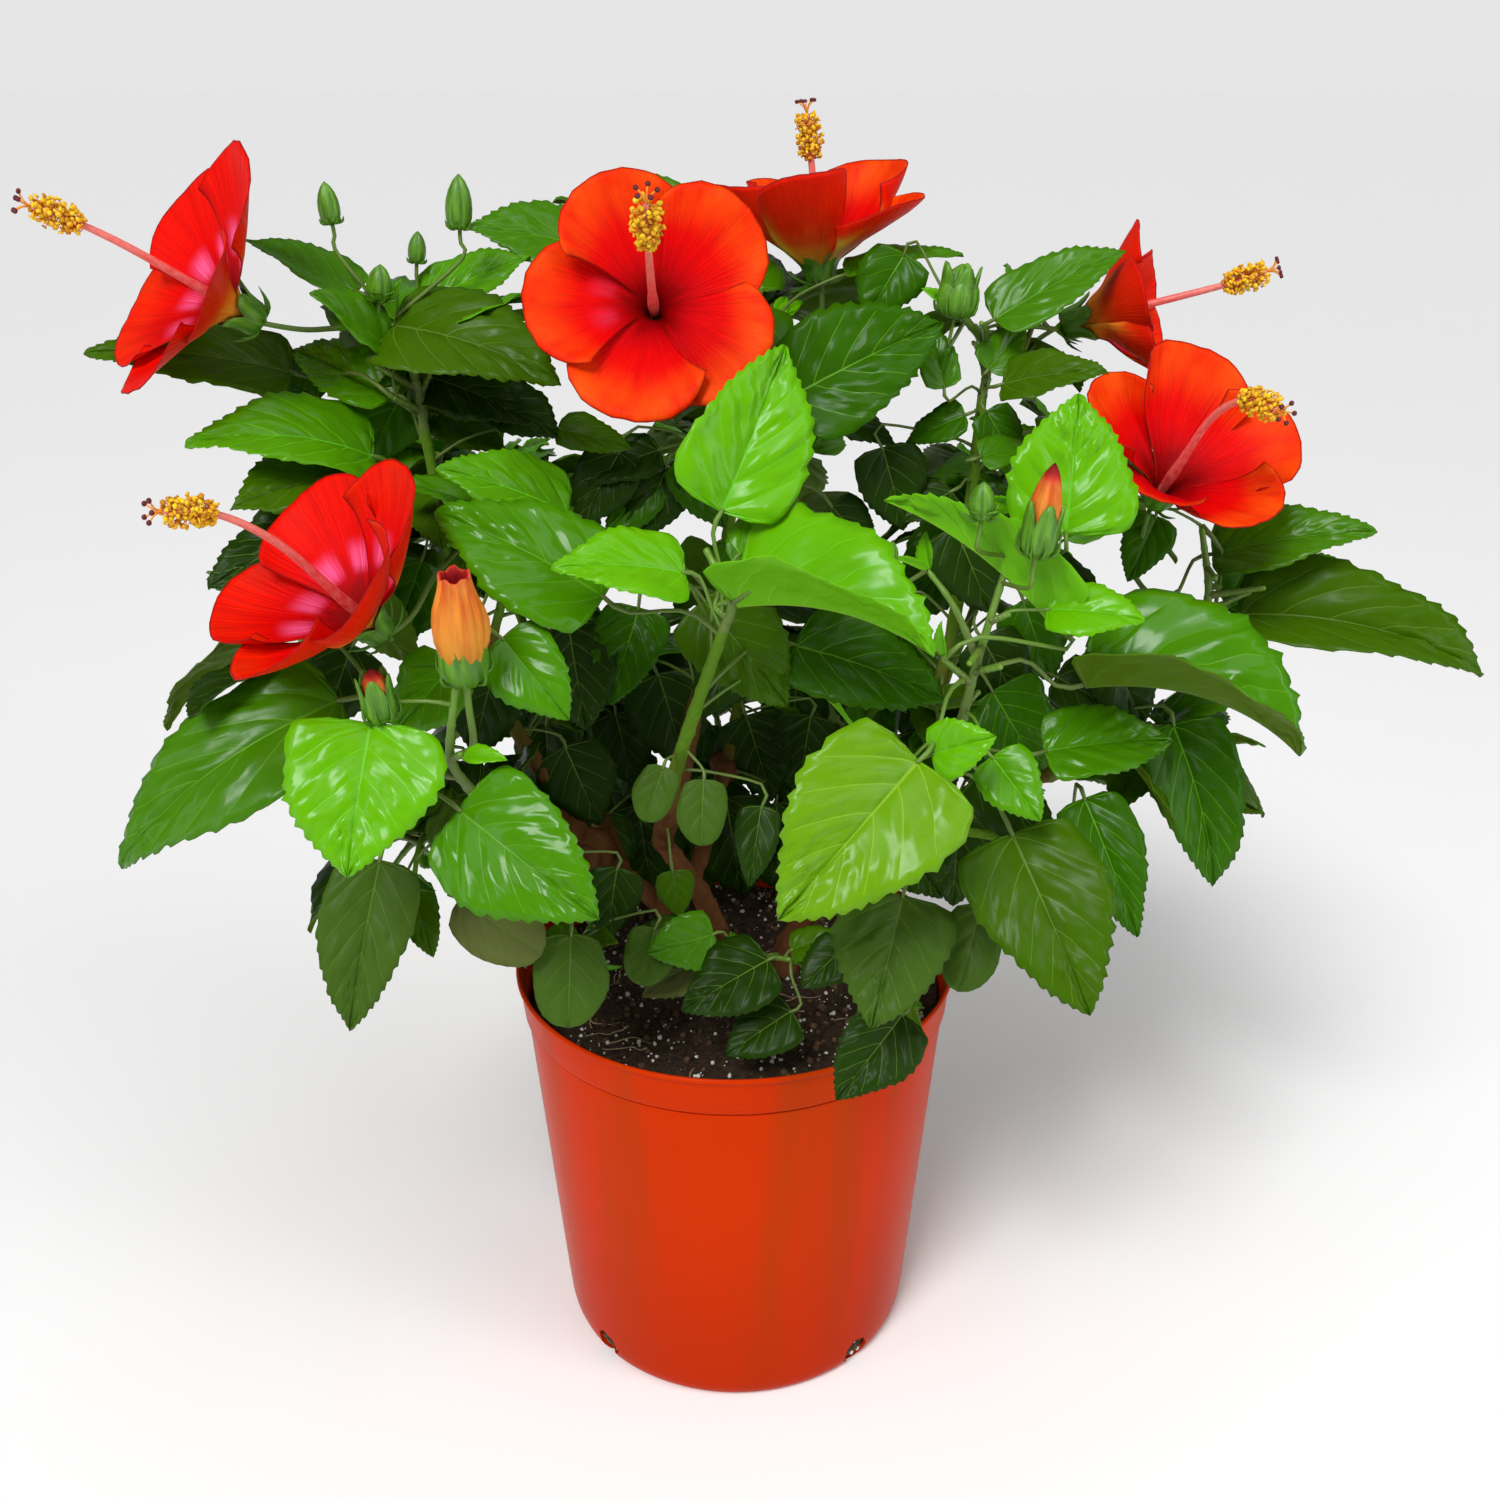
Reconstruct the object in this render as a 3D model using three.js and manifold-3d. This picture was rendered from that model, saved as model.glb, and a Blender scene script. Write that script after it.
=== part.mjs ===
// A flowering hibiscus shrub growing in its nursery pot.
// Millimetres, +Z up, +Y to the back. The origin is the centre of the pot's flat underside.

import * as THREE from "three";
import { mergeVertices } from "three/addons/utils/BufferGeometryUtils.js";
import Module from "manifold-3d";

const wasm = await Module();
wasm.setup();

// ---------- driving dimensions ----------

const GAP = 0.3; // clearance between pieces that touch
const TURN = 2 * Math.PI;
const DEGREE = Math.PI / 180;

const pot = {
  height: 235,
  lipRadius: 124.2,
  lipDrop: 3.2, // height of the rolled lip
  bandRadius: 121.4,
  bandHeight: 24, // from the top of the lip to the groove
  grooveRadius: 118,
  grooveHeight: 1.6,
  shoulderRadius: 119, // the wall just under the groove
  baseRadius: 95, // the flat that it stands on
  cornerRadius: 103.6, // where the rounded bottom corner meets the wall
  cornerHeight: 13,
  wall: 1.8,
  floor: 2.2,
  thickening: 0.6, // how much thicker the wall is just under the groove
  sides: 32,
  holes: 4,
  holeRadius: 8.5,
  holeHeight: 9.5,
  firstHole: -47, // degrees round from +X
};
const drill = { length: 16, sides: 8 };

const soil = {
  level: 218,
  crown: 2.5, // how much the middle stands above the edge
  slack: 0.8, // room for the flats of the round wall, on top of the gap
};

// Woody stems, from a flat cut at soil level to their fork. lean is the fork's offset from the foot.
const stems = [
  { name: "stem_left", foot: [-26, 12], lean: [-50, -10, 76], footRadius: 6.4, forkRadius: 4.4 },
  { name: "stem_middle", foot: [-2, -12], lean: [-38, -2, 96], footRadius: 7, forkRadius: 4.8 },
  { name: "stem_right", foot: [26, 10], lean: [60, -4, 76], footRadius: 6.4, forkRadius: 4.4 },
];

// Boughs, each carrying one mass of leaves. root is the limb that a bough grows from, at the share
// of that limb's length where it leaves, and bow moves the middle of the bough off a straight line.
const boughs = [
  { name: "bough_top_left", root: "stem_left", at: 1, mass: "leaves_top_left", bow: [-18, 0, -6] },
  { name: "bough_left", root: "stem_left", at: 1, mass: "leaves_left", bow: [0, 0, -8] },
  { name: "bough_front_left", root: "stem_left", at: 1, mass: "leaves_front_left", bow: [0, -6, -10] },
  { name: "bough_back_left", root: "stem_left", at: 0.8, mass: "leaves_back_left", bow: [0, 8, -10] },
  { name: "bough_front", root: "stem_middle", at: 1, mass: "leaves_front", bow: [-4, -12, 0] },
  { name: "bough_top", root: "stem_middle", at: 1, mass: "leaves_top", bow: [8, 6, 0] },
  { name: "bough_back", root: "stem_middle", at: 0.7, mass: "leaves_back", bow: [10, 10, -16] },
  { name: "bough_top_right", root: "stem_right", at: 1, mass: "leaves_top_right", bow: [10, 6, -6] },
  { name: "bough_right", root: "stem_right", at: 1, mass: "leaves_right", bow: [0, 0, -14] },
  { name: "bough_front_right", root: "stem_right", at: 1, mass: "leaves_front_right", bow: [0, -6, -12] },
  { name: "bough_back_right", root: "stem_right", at: 0.8, mass: "leaves_back_right", bow: [0, 8, -10] },
];
const sideBoughs = [
  { name: "bough_middle_left", root: "bough_top_left", at: 0.5, mass: "leaves_middle_left", bow: [0, 0, -4] },
  { name: "bough_middle_right", root: "bough_top_right", at: 0.6, mass: "leaves_middle_right", bow: [0, 0, -4] },
  { name: "bough_low_left", root: "bough_left", at: 0.45, mass: "leaves_low_left", bow: [0, -4, 8] },
  { name: "bough_low_right", root: "bough_front_right", at: 0.3, mass: "leaves_low_right", bow: [0, -4, 8] },
  { name: "bough_rim", root: "stem_right", at: 0.75, mass: "leaves_rim", bow: [6, -8, 12] },
  { name: "bough_right_low", root: "bough_right", at: 0.4, mass: "leaves_right_low", bow: [0, 0, 6] },
  { name: "bough_foot", root: "stem_middle", at: 0.35, mass: "leaves_foot", bow: [6, -6, 6] },
  { name: "bough_foot_left", root: "stem_left", at: 0.75, mass: "leaves_foot_left", bow: [0, -8, 8] },
  { name: "bough_low_back", root: "bough_back", at: 0.3, mass: "leaves_low_back", bow: [0, 0, 4] },
];
const boughRadii = { foot: 4.1, tip: 2.5 };
const sideBoughRadii = { foot: 2.8, tip: 1.8 };

// Masses of leaves. middle is the mass's own centre, reach its half sizes, tips its furthest leaf tips.
const masses = [
  {
    name: "leaves_top_left",
    middle: [-160, -4, 562],
    reach: [74, 66, 40],
    tips: [[-262, -30, 530], [-225, 20, 592], [-120, 50, 622], [-92, -20, 590]],
    seed: 11,
  },
  {
    name: "leaves_top",
    middle: [10, 58, 570],
    reach: [84, 72, 40],
    tips: [[-42, 62, 648], [-92, 60, 614], [96, 30, 590], [40, 140, 596]],
    seed: 12,
  },
  {
    name: "leaves_top_right",
    middle: [132, 42, 566],
    reach: [58, 66, 36],
    tips: [[193, 52, 610], [112, 100, 612], [188, 0, 556]],
    seed: 13,
  },
  {
    name: "leaves_left",
    middle: [-222, -42, 446],
    reach: [62, 80, 50],
    tips: [[-298, -100, 345], [-296, -70, 412], [-276, -10, 470], [-230, 48, 500]],
    seed: 14,
  },
  {
    name: "leaves_front_left",
    middle: [-128, -150, 418],
    reach: [58, 56, 42],
    tips: [[-57, -205, 372], [-196, -172, 410], [-162, -176, 376], [-72, -146, 438]],
    seed: 15,
  },
  {
    name: "leaves_middle_left",
    middle: [-100, -62, 502],
    reach: [52, 62, 36],
    tips: [[-62, -120, 478], [-136, -84, 532]],
    seed: 16,
  },
  {
    name: "leaves_front",
    middle: [2, -126, 492],
    reach: [62, 58, 34],
    tips: [[82, -172, 482], [-56, -150, 488], [2, -96, 516]],
    seed: 17,
  },
  {
    name: "leaves_front_right",
    middle: [112, -122, 448],
    reach: [58, 62, 56],
    tips: [[22, -204, 378], [136, -118, 530], [186, -118, 424], [88, -176, 500]],
    seed: 18,
  },
  {
    name: "leaves_middle_right",
    middle: [150, -38, 512],
    reach: [40, 44, 28],
    tips: [[122, -72, 536], [186, -62, 506]],
    seed: 28,
  },
  {
    name: "leaves_right",
    middle: [250, -14, 448],
    reach: [78, 76, 32],
    tips: [[388, -22, 408], [336, 32, 474], [270, -102, 404], [240, 60, 462]],
    seed: 19,
  },
  {
    name: "leaves_low_left",
    middle: [-172, -70, 330],
    reach: [46, 52, 46],
    tips: [[-188, -124, 260], [-206, -104, 306], [-104, -118, 292]],
    seed: 20,
  },
  {
    name: "leaves_low_right",
    middle: [178, -92, 346],
    reach: [46, 52, 48],
    tips: [[164, -152, 280], [212, -84, 286], [120, -110, 366]],
    seed: 21,
  },
  {
    name: "leaves_rim",
    middle: [98, -104, 290],
    reach: [34, 36, 34],
    tips: [[57, -136, 224], [116, -124, 258]],
    seed: 22,
  },
  {
    name: "leaves_foot",
    middle: [12, -74, 268],
    reach: [40, 26, 22],
    tips: [[-44, -70, 292], [42, -98, 246]],
    seed: 29,
  },
  {
    name: "leaves_foot_left",
    middle: [-84, -92, 284],
    reach: [24, 24, 24],
    tips: [[-66, -118, 262]],
    seed: 30,
  },
  {
    name: "leaves_right_low",
    middle: [238, -2, 356],
    reach: [44, 58, 36],
    tips: [[254, -52, 302], [284, 10, 340]],
    seed: 23,
  },
  {
    name: "leaves_back_left",
    middle: [-150, 138, 446],
    reach: [82, 76, 52],
    tips: [[-238, 150, 408], [-176, 232, 418], [-110, 196, 500]],
    seed: 24,
  },
  {
    name: "leaves_back",
    middle: [10, 206, 470],
    reach: [72, 66, 52],
    tips: [[20, 292, 420], [-40, 268, 476], [66, 250, 516]],
    seed: 25,
  },
  {
    name: "leaves_back_right",
    middle: [164, 140, 446],
    reach: [80, 74, 52],
    tips: [[256, 160, 410], [190, 232, 424], [120, 192, 504]],
    seed: 26,
  },
  {
    name: "leaves_low_back",
    middle: [-14, 152, 328],
    reach: [112, 42, 40],
    tips: [[-136, 164, 288], [110, 176, 292], [4, 212, 306]],
    seed: 27,
  },
];
const lobeCount = 9;
const lobeHeight = 0.16;
// How often each edge of the starting icosahedron is divided, for large masses and for small ones.
const fineness = { large: 2, small: 1, smallReach: 45 };

// Open flowers. mouth is the middle of the flower's mouth, radius its petals' reach, cup the depth
// from the mouth to the throat's floor, column the height that the column stands out of the mouth,
// facing its direction as degrees round from +X and degrees up, and stalk where its stalk leaves the
// shoot.
const flowers = [
  {
    name: "flower_left_top",
    mouth: [-244, -34, 611],
    radius: 60,
    cup: 15,
    column: 74,
    facing: [214, 34],
    stalk: [-186, 0, 584],
  },
  {
    name: "flower_front",
    mouth: [-35, -56, 608],
    radius: 58,
    cup: 11,
    column: 76,
    facing: [272, 25],
    stalk: [-34, 12, 556],
  },
  {
    name: "flower_back",
    mouth: [42, 80, 633],
    radius: 56,
    cup: 24,
    column: 50,
    facing: [150, 83],
    stalk: [46, 84, 574],
  },
  {
    name: "flower_right_top",
    mouth: [205, 56, 586],
    radius: 46,
    cup: 18,
    column: 72,
    facing: [344, 16],
    stalk: [150, 52, 562],
  },
  {
    name: "flower_right",
    mouth: [217, -36, 536],
    radius: 55,
    cup: 15,
    column: 62,
    facing: [292, 52],
    stalk: [208, 4, 458],
  },
  {
    name: "flower_left",
    mouth: [-176, -122, 498],
    radius: 58,
    cup: 16,
    column: 78,
    facing: [222, 50],
    stalk: [-136, -80, 486],
  },
];
const flower = {
  depth: 39, // from the mouth to the back of the closed tube
  calyxRadius: 7,
  petal: 3.4, // thickness of the petals' ring
  columnRadius: 3,
  antherRadius: 6.5,
  antherLength: 24,
  petals: 5,
  notch: 0.12, // how deep the outline is cut between petals
  throat: 0.36, // the funnel's floor as a share of the radius
  sides: 10,
};
const flowerStalkRadius = 2.2;
const leafRoom = { swell: 1.012, flowerMargin: 1.5, rimOut: 1, rimUp: 2, rimDepth: 58 };

// ---------- helpers ----------

// A repeatable stream of numbers from 0 to 1.
function seededNumbers(seed) {
  let state = seed * 2654435761;
  return () => {
    state = (state + 0x6d2b79f5) | 0;
    let value = Math.imul(state ^ (state >>> 15), 1 | state);
    value = (value + Math.imul(value ^ (value >>> 7), 61 | value)) ^ value;
    return ((value ^ (value >>> 14)) >>> 0) / 4294967296;
  };
}

function vector(list) {
  return new THREE.Vector3(...list);
}

// A copy of a geometry in which faces that meet share their corners.
function welded(geometry) {
  const bare = geometry.clone();
  bare.deleteAttribute("normal");
  bare.deleteAttribute("uv");
  return mergeVertices(bare, 1e-3);
}

function solidFrom(geometry) {
  const merged = welded(geometry);
  const vertProperties = Float32Array.from(merged.attributes.position.array);
  const triVerts = Uint32Array.from(merged.index.array);
  return new wasm.Manifold(new wasm.Mesh({ numProp: 3, vertProperties, triVerts }));
}

function geometryFrom(solid) {
  const cut = solid.getMesh();
  const geometry = new THREE.BufferGeometry();
  geometry.setAttribute("position", new THREE.BufferAttribute(cut.vertProperties, 3));
  geometry.setIndex(new THREE.BufferAttribute(cut.triVerts, 1));
  return geometry;
}

// The largest single body of a solid that a cut may have parted.
function largestBody(solid) {
  const bodies = solid.decompose();
  bodies.sort((a, b) => b.volume() - a.volume());
  return bodies[0];
}

function cutAway(solid, tools) {
  let left = solid;
  for (const tool of tools) {
    left = left.subtract(tool);
  }
  return largestBody(left);
}

// Turns a geometry made about the Y axis so that its axis points along direction.
function pointAlong(geometry, direction) {
  const turn = new THREE.Quaternion().setFromUnitVectors(new THREE.Vector3(0, 1, 0), direction);
  return geometry.applyQuaternion(turn);
}

function directionFrom([round, lift]) {
  const flat = Math.cos(lift * DEGREE);
  return new THREE.Vector3(
    flat * Math.cos(round * DEGREE),
    flat * Math.sin(round * DEGREE),
    Math.sin(lift * DEGREE),
  );
}

// ---------- pot and soil ----------

// A closed ring of profile points: up the outside from the middle of the base, down the inside.
function potProfile() {
  const outside = [[0, 0], [pot.baseRadius, 0]];
  const cornerSteps = 4;
  for (let step = 1; step <= cornerSteps; step += 1) {
    const angle = (step / cornerSteps) * (Math.PI / 2);
    outside.push([
      pot.baseRadius + (pot.cornerRadius - pot.baseRadius) * Math.sin(angle),
      pot.cornerHeight * (1 - Math.cos(angle)),
    ]);
  }
  const groove = pot.height - pot.bandHeight;
  outside.push([pot.shoulderRadius, groove - pot.grooveHeight]);
  outside.push([pot.grooveRadius, groove]);
  outside.push([pot.bandRadius - 0.5, groove + pot.grooveHeight]);
  outside.push([pot.bandRadius, pot.height - pot.lipDrop]);
  outside.push([pot.lipRadius, pot.height - pot.lipDrop * 0.6]);
  outside.push([pot.lipRadius - 0.8, pot.height]);
  const inside = [
    [pot.bandRadius - pot.wall, pot.height],
    [pot.shoulderRadius - pot.wall - pot.thickening, groove - pot.grooveHeight],
    [pot.cornerRadius - pot.wall, pot.cornerHeight],
    [pot.baseRadius - pot.wall, pot.floor],
    [0, pot.floor],
  ];
  return outside.concat(inside).map(([radius, height]) => new THREE.Vector2(radius, height));
}

function potGeometry() {
  const shell = new THREE.LatheGeometry(potProfile(), pot.sides).rotateX(Math.PI / 2);
  let solid = solidFrom(shell);
  for (let hole = 0; hole < pot.holes; hole += 1) {
    const round = pot.firstHole * DEGREE + (hole * TURN) / pot.holes;
    const hollow = new THREE.CylinderGeometry(pot.holeRadius, pot.holeRadius, drill.length, drill.sides);
    hollow.rotateZ(Math.PI / 2);
    hollow.translate(pot.cornerRadius, 0, pot.holeHeight);
    hollow.rotateZ(round);
    solid = solid.subtract(solidFrom(hollow));
  }
  return geometryFrom(solid);
}

function innerRadius(height) {
  const groove = pot.height - pot.bandHeight - pot.grooveHeight;
  const share = (height - pot.cornerHeight) / (groove - pot.cornerHeight);
  const low = pot.cornerRadius - pot.wall;
  const high = pot.shoulderRadius - pot.wall - pot.thickening;
  return low + (high - low) * share;
}

function soilGeometry() {
  const bottom = pot.floor + GAP;
  const edge = innerRadius(soil.level - soil.crown) - GAP - soil.slack;
  const corner = innerRadius(pot.cornerHeight) - GAP - soil.slack;
  const profile = [
    [0, bottom],
    [pot.baseRadius - pot.wall - 2, bottom],
    [corner, pot.cornerHeight],
    [edge, soil.level - soil.crown],
    [edge * 0.6, soil.level],
    [0, soil.level],
  ].map(([radius, height]) => new THREE.Vector2(radius, height));
  return new THREE.LatheGeometry(profile, pot.sides).rotateX(Math.PI / 2);
}

// ---------- limbs ----------

// A round limb along a smooth path, tapering from its foot to its tip, with a flare over the first part.
function limbGeometry(path, footRadius, tipRadius, flare = 0) {
  const rings = 4;
  const sides = 6;
  const curve = new THREE.CatmullRomCurve3(path);
  const frames = curve.computeFrenetFrames(rings, false);
  const limb = new THREE.CylinderGeometry(1, 1, rings, sides, rings);
  const position = limb.attributes.position;
  for (let index = 0; index < position.count; index += 1) {
    const ring = Math.round(position.getY(index) + rings / 2);
    const along = ring / rings;
    const radius = footRadius + (tipRadius - footRadius) * along + flare * (1 - along) ** 6;
    const place = curve.getPointAt(along);
    place.addScaledVector(frames.normals[ring], position.getX(index) * radius);
    place.addScaledVector(frames.binormals[ring], -position.getZ(index) * radius);
    position.setXYZ(index, place.x, place.y, place.z);
  }
  return limb;
}

// Moves the foot of a limb onto a level plane, which leaves a flat cut there.
function levelFoot(geometry, height) {
  const position = geometry.attributes.position;
  const nearFoot = 6;
  for (let index = 0; index < position.count; index += 1) {
    if (position.getZ(index) < height + nearFoot) {
      position.setZ(index, height);
    }
  }
  return geometry;
}

const stemFlare = 3.4;
const stemFoot = soil.level + GAP;
const limbPaths = new Map();

function stemPath(stem) {
  const foot = new THREE.Vector3(stem.foot[0], stem.foot[1], stemFoot);
  const [x, y, z] = stem.lean;
  const steps = [[0.1, 0.25], [0.45, 0.65], [1, 1]];
  const rest = steps.map(([out, up]) => new THREE.Vector3(x * out, y * out, z * up).add(foot));
  return [foot, ...rest];
}

// A bough runs from its root limb until it has just entered its mass, on the line to the mass's middle.
function boughPath(bough) {
  const mass = masses.find((entry) => entry.name === bough.mass);
  const fork = new THREE.CatmullRomCurve3(limbPaths.get(bough.root)).getPointAt(bough.at);
  const middle = vector(mass.middle);
  const run = middle.clone().sub(fork);
  const inMass = run.clone().divide(vector(mass.reach));
  const entered = 0.62;
  const end = middle.clone().addScaledVector(run, -entered / inMass.length());
  const bend = fork.clone().lerp(end, 0.5).add(vector(bough.bow));
  return [fork, bend, end];
}

// ---------- masses of leaves ----------

function massGeometry(mass) {
  const random = seededNumbers(mass.seed);
  const lobes = [];
  for (let lobe = 0; lobe < lobeCount; lobe += 1) {
    const lift = 1 - (2 * (lobe + 0.5)) / lobeCount;
    const round = lobe * 2.4 + random() * 1.2;
    const flat = Math.sqrt(1 - lift * lift);
    lobes.push(new THREE.Vector3(flat * Math.cos(round), flat * Math.sin(round), lift));
  }
  const reach = vector(mass.reach);
  const middle = vector(mass.middle);
  const small = mass.reach[0] < fineness.smallReach;
  const geometry = welded(new THREE.IcosahedronGeometry(1, small ? fineness.small : fineness.large));
  const position = geometry.attributes.position;
  const directions = [];
  for (let index = 0; index < position.count; index += 1) {
    const direction = new THREE.Vector3().fromBufferAttribute(position, index).normalize();
    directions.push(direction);
    let radius = 1 - lobeHeight;
    for (const lobe of lobes) {
      radius += 2 * lobeHeight * Math.max(0, direction.dot(lobe)) ** 10;
    }
    radius -= 0.08 * random();
    const place = direction.clone().multiplyScalar(radius).multiply(reach).add(middle);
    position.setXYZ(index, place.x, place.y, place.z);
  }
  for (const tip of mass.tips) {
    const point = vector(tip);
    const aim = point.clone().sub(middle).divide(reach).normalize();
    const scores = directions.map((direction) => direction.dot(aim));
    const nearest = scores.indexOf(Math.max(...scores));
    position.setXYZ(nearest, point.x, point.y, point.z);
  }
  return geometry;
}

// ---------- flowers ----------

// Where a flower's narrow tube starts to widen into the funnel.
function tubeEnd(entry) {
  return -entry.cup - (flower.depth - entry.cup) * 0.4;
}

// The flower's half section along its axis, from the calyx at the back to the column's tip in front.
// Its heights are measured from the mouth of the cup.
function flowerProfile(entry) {
  const floor = -entry.cup;
  const back = -flower.depth;
  return [
    [0, back],
    [flower.calyxRadius, back + 2],
    [flower.calyxRadius, tubeEnd(entry)],
    [entry.radius * flower.throat, floor],
    [entry.radius, -1],
    [entry.radius * 0.98, flower.petal - 1],
    [entry.radius * 0.3, floor + flower.petal],
    [flower.columnRadius, floor + flower.petal],
    [flower.columnRadius, entry.column - flower.antherLength],
    [flower.antherRadius, entry.column - flower.antherLength * 0.7],
    [0, entry.column],
  ].map(([out, height]) => new THREE.Vector2(out, height));
}

function flowerGeometry(entry) {
  const geometry = new THREE.LatheGeometry(flowerProfile(entry), flower.sides);
  const position = geometry.attributes.position;
  const tubeRadius = entry.radius * 0.5;
  for (let index = 0; index < position.count; index += 1) {
    const x = position.getX(index);
    const z = position.getZ(index);
    if (Math.hypot(x, z) > tubeRadius) {
      const wave = 0.5 - 0.5 * Math.cos(Math.atan2(z, x) * flower.petals);
      const scale = 1 - flower.notch * wave;
      position.setX(index, x * scale);
      position.setZ(index, z * scale);
    }
  }
  pointAlong(geometry, directionFrom(entry.facing));
  return geometry.translate(...entry.mouth);
}

// The flower's stalk, from its shoot up into the back of the calyx.
function flowerStalkGeometry(entry, extraRadius) {
  const facing = directionFrom(entry.facing);
  const calyx = vector(entry.mouth).addScaledVector(facing, -flower.depth);
  const inCalyx = calyx.clone().addScaledVector(facing, 8);
  const foot = vector(entry.stalk);
  const bend = foot.clone().lerp(calyx, 0.6).addScaledVector(facing, -4);
  const radius = flowerStalkRadius + extraRadius;
  return limbGeometry([foot, bend, calyx, inCalyx], radius, radius);
}

// The room that leaves keep free for a flower: a plain funnel round its calyx, petals and column.
function flowerRoom(entry) {
  const sides = 7;
  const margin = leafRoom.flowerMargin;
  const flatness = Math.cos(Math.PI / sides);
  const back = -flower.depth - margin;
  const profile = [
    [0, back],
    [(flower.calyxRadius + margin) / flatness, back],
    [(flower.calyxRadius + margin) / flatness, tubeEnd(entry) - margin],
    [(entry.radius * flower.throat + margin) / flatness, -entry.cup - margin],
    [(entry.radius + margin) / flatness, -1 - margin],
    [(entry.radius + margin) / flatness, flower.petal],
    [(flower.antherRadius + margin) / flatness, entry.column + margin],
    [0, entry.column + margin],
  ].map(([out, height]) => new THREE.Vector2(out, height));
  const room = pointAlong(new THREE.LatheGeometry(profile, sides), directionFrom(entry.facing));
  return room.translate(...entry.mouth);
}

// ---------- materials ----------

function surface(color, roughness) {
  return new THREE.MeshStandardMaterial({ color, roughness, metalness: 0 });
}

const potPlastic = surface(0xc8421c, 0.32);
const pottingMix = surface(0x2a1c16, 0.95);
const bark = surface(0x7a5230, 0.8);
const leaf = surface(0x3f9a26, 0.4);
const petal = surface(0xe0260c, 0.55);

// ---------- assembly ----------

const group = new THREE.Group();

function addPiece(name, geometry, material) {
  const mesh = new THREE.Mesh(geometry, material);
  mesh.name = name;
  group.add(mesh);
}

addPiece("pot", potGeometry(), potPlastic);
addPiece("soil", soilGeometry(), pottingMix);

const limbRooms = [];

for (const stem of stems) {
  const path = stemPath(stem);
  limbPaths.set(stem.name, path);
  const limb = levelFoot(limbGeometry(path, stem.footRadius, stem.forkRadius, stemFlare), stemFoot);
  addPiece(stem.name, limb, bark);
  const room = limbGeometry(path, stem.footRadius + GAP, stem.forkRadius + GAP, stemFlare);
  limbRooms.push(solidFrom(room.translate(0, 0, GAP)));
}

function addBough(bough, radii) {
  const path = boughPath(bough);
  limbPaths.set(bough.name, path);
  const limb = solidFrom(limbGeometry(path, radii.foot, radii.tip));
  addPiece(bough.name, geometryFrom(cutAway(limb, limbRooms)), bark);
  limbRooms.push(solidFrom(limbGeometry(path, radii.foot + GAP, radii.tip + GAP)));
}

boughs.forEach((bough) => addBough(bough, boughRadii));
sideBoughs.forEach((bough) => addBough(bough, sideBoughRadii));

const flowerRooms = [];

for (const entry of flowers) {
  const bloom = flowerGeometry(entry);
  const whole = solidFrom(bloom).add(solidFrom(flowerStalkGeometry(entry, 0)));
  addPiece(entry.name, geometryFrom(whole), petal);
  flowerRooms.push(solidFrom(flowerRoom(entry)));
  flowerRooms.push(solidFrom(flowerStalkGeometry(entry, GAP)));
}

// Leaves stay out of the space over the soil and off the pot's rim.
const rimReach = pot.lipRadius + leafRoom.rimOut;
const rimHeight = leafRoom.rimDepth + leafRoom.rimUp;
const rimRoom = new THREE.CylinderGeometry(rimReach, rimReach, rimHeight, 24);
rimRoom.rotateX(Math.PI / 2).translate(0, 0, pot.height + leafRoom.rimUp - rimHeight / 2);

const taken = [solidFrom(rimRoom), ...limbRooms, ...flowerRooms];

for (const mass of masses) {
  const solid = solidFrom(massGeometry(mass));
  addPiece(mass.name, geometryFrom(cutAway(solid, taken)), leaf);
  const middle = vector(mass.middle);
  const swollen = massGeometry(mass);
  swollen.translate(-middle.x, -middle.y, -middle.z);
  swollen.scale(leafRoom.swell, leafRoom.swell, leafRoom.swell);
  taken.push(solidFrom(swollen.translate(middle.x, middle.y, middle.z)));
}

export default group;
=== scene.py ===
"""A flowering hibiscus shrub in its nursery pot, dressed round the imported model.

Every piece is built from meshes made here: the thin plastic pot, the potting mix, the barked stems
and boughs, the green shoots and leaf stalks, the leaves, the open blooms, the buds and one spent
bloom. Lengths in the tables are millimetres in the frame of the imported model.
"""

import functools
import math
from math import cos, pi, sin
from types import SimpleNamespace

import bpy
import numpy as np
from numpy.linalg import norm
from bpy.props import FloatProperty, FloatVectorProperty, IntProperty, PointerProperty
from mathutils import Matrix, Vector, noise


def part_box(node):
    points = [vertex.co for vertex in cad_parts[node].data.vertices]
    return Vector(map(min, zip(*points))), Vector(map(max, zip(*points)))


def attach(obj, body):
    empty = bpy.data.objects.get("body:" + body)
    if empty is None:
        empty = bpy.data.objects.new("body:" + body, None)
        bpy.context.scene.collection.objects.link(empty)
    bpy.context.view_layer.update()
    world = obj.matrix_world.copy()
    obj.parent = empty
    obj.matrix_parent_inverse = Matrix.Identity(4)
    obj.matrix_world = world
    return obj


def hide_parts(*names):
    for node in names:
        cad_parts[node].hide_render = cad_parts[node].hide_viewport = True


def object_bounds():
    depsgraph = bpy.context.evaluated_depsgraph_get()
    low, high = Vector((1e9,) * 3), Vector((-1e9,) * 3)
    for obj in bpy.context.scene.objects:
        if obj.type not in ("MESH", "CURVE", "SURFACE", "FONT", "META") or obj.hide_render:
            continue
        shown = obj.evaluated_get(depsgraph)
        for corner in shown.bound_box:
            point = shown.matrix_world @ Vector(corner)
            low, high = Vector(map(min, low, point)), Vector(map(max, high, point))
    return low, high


bl_info = {
    "name": "Potted hibiscus shrub",
    "version": (1, 0, 0),
    "blender": (4, 5, 0),
    "location": "3D View > Sidebar > Hibiscus",
    "description": "Builds the looks of a flowering hibiscus shrub in its nursery pot",
    "category": "Object",
}

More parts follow.
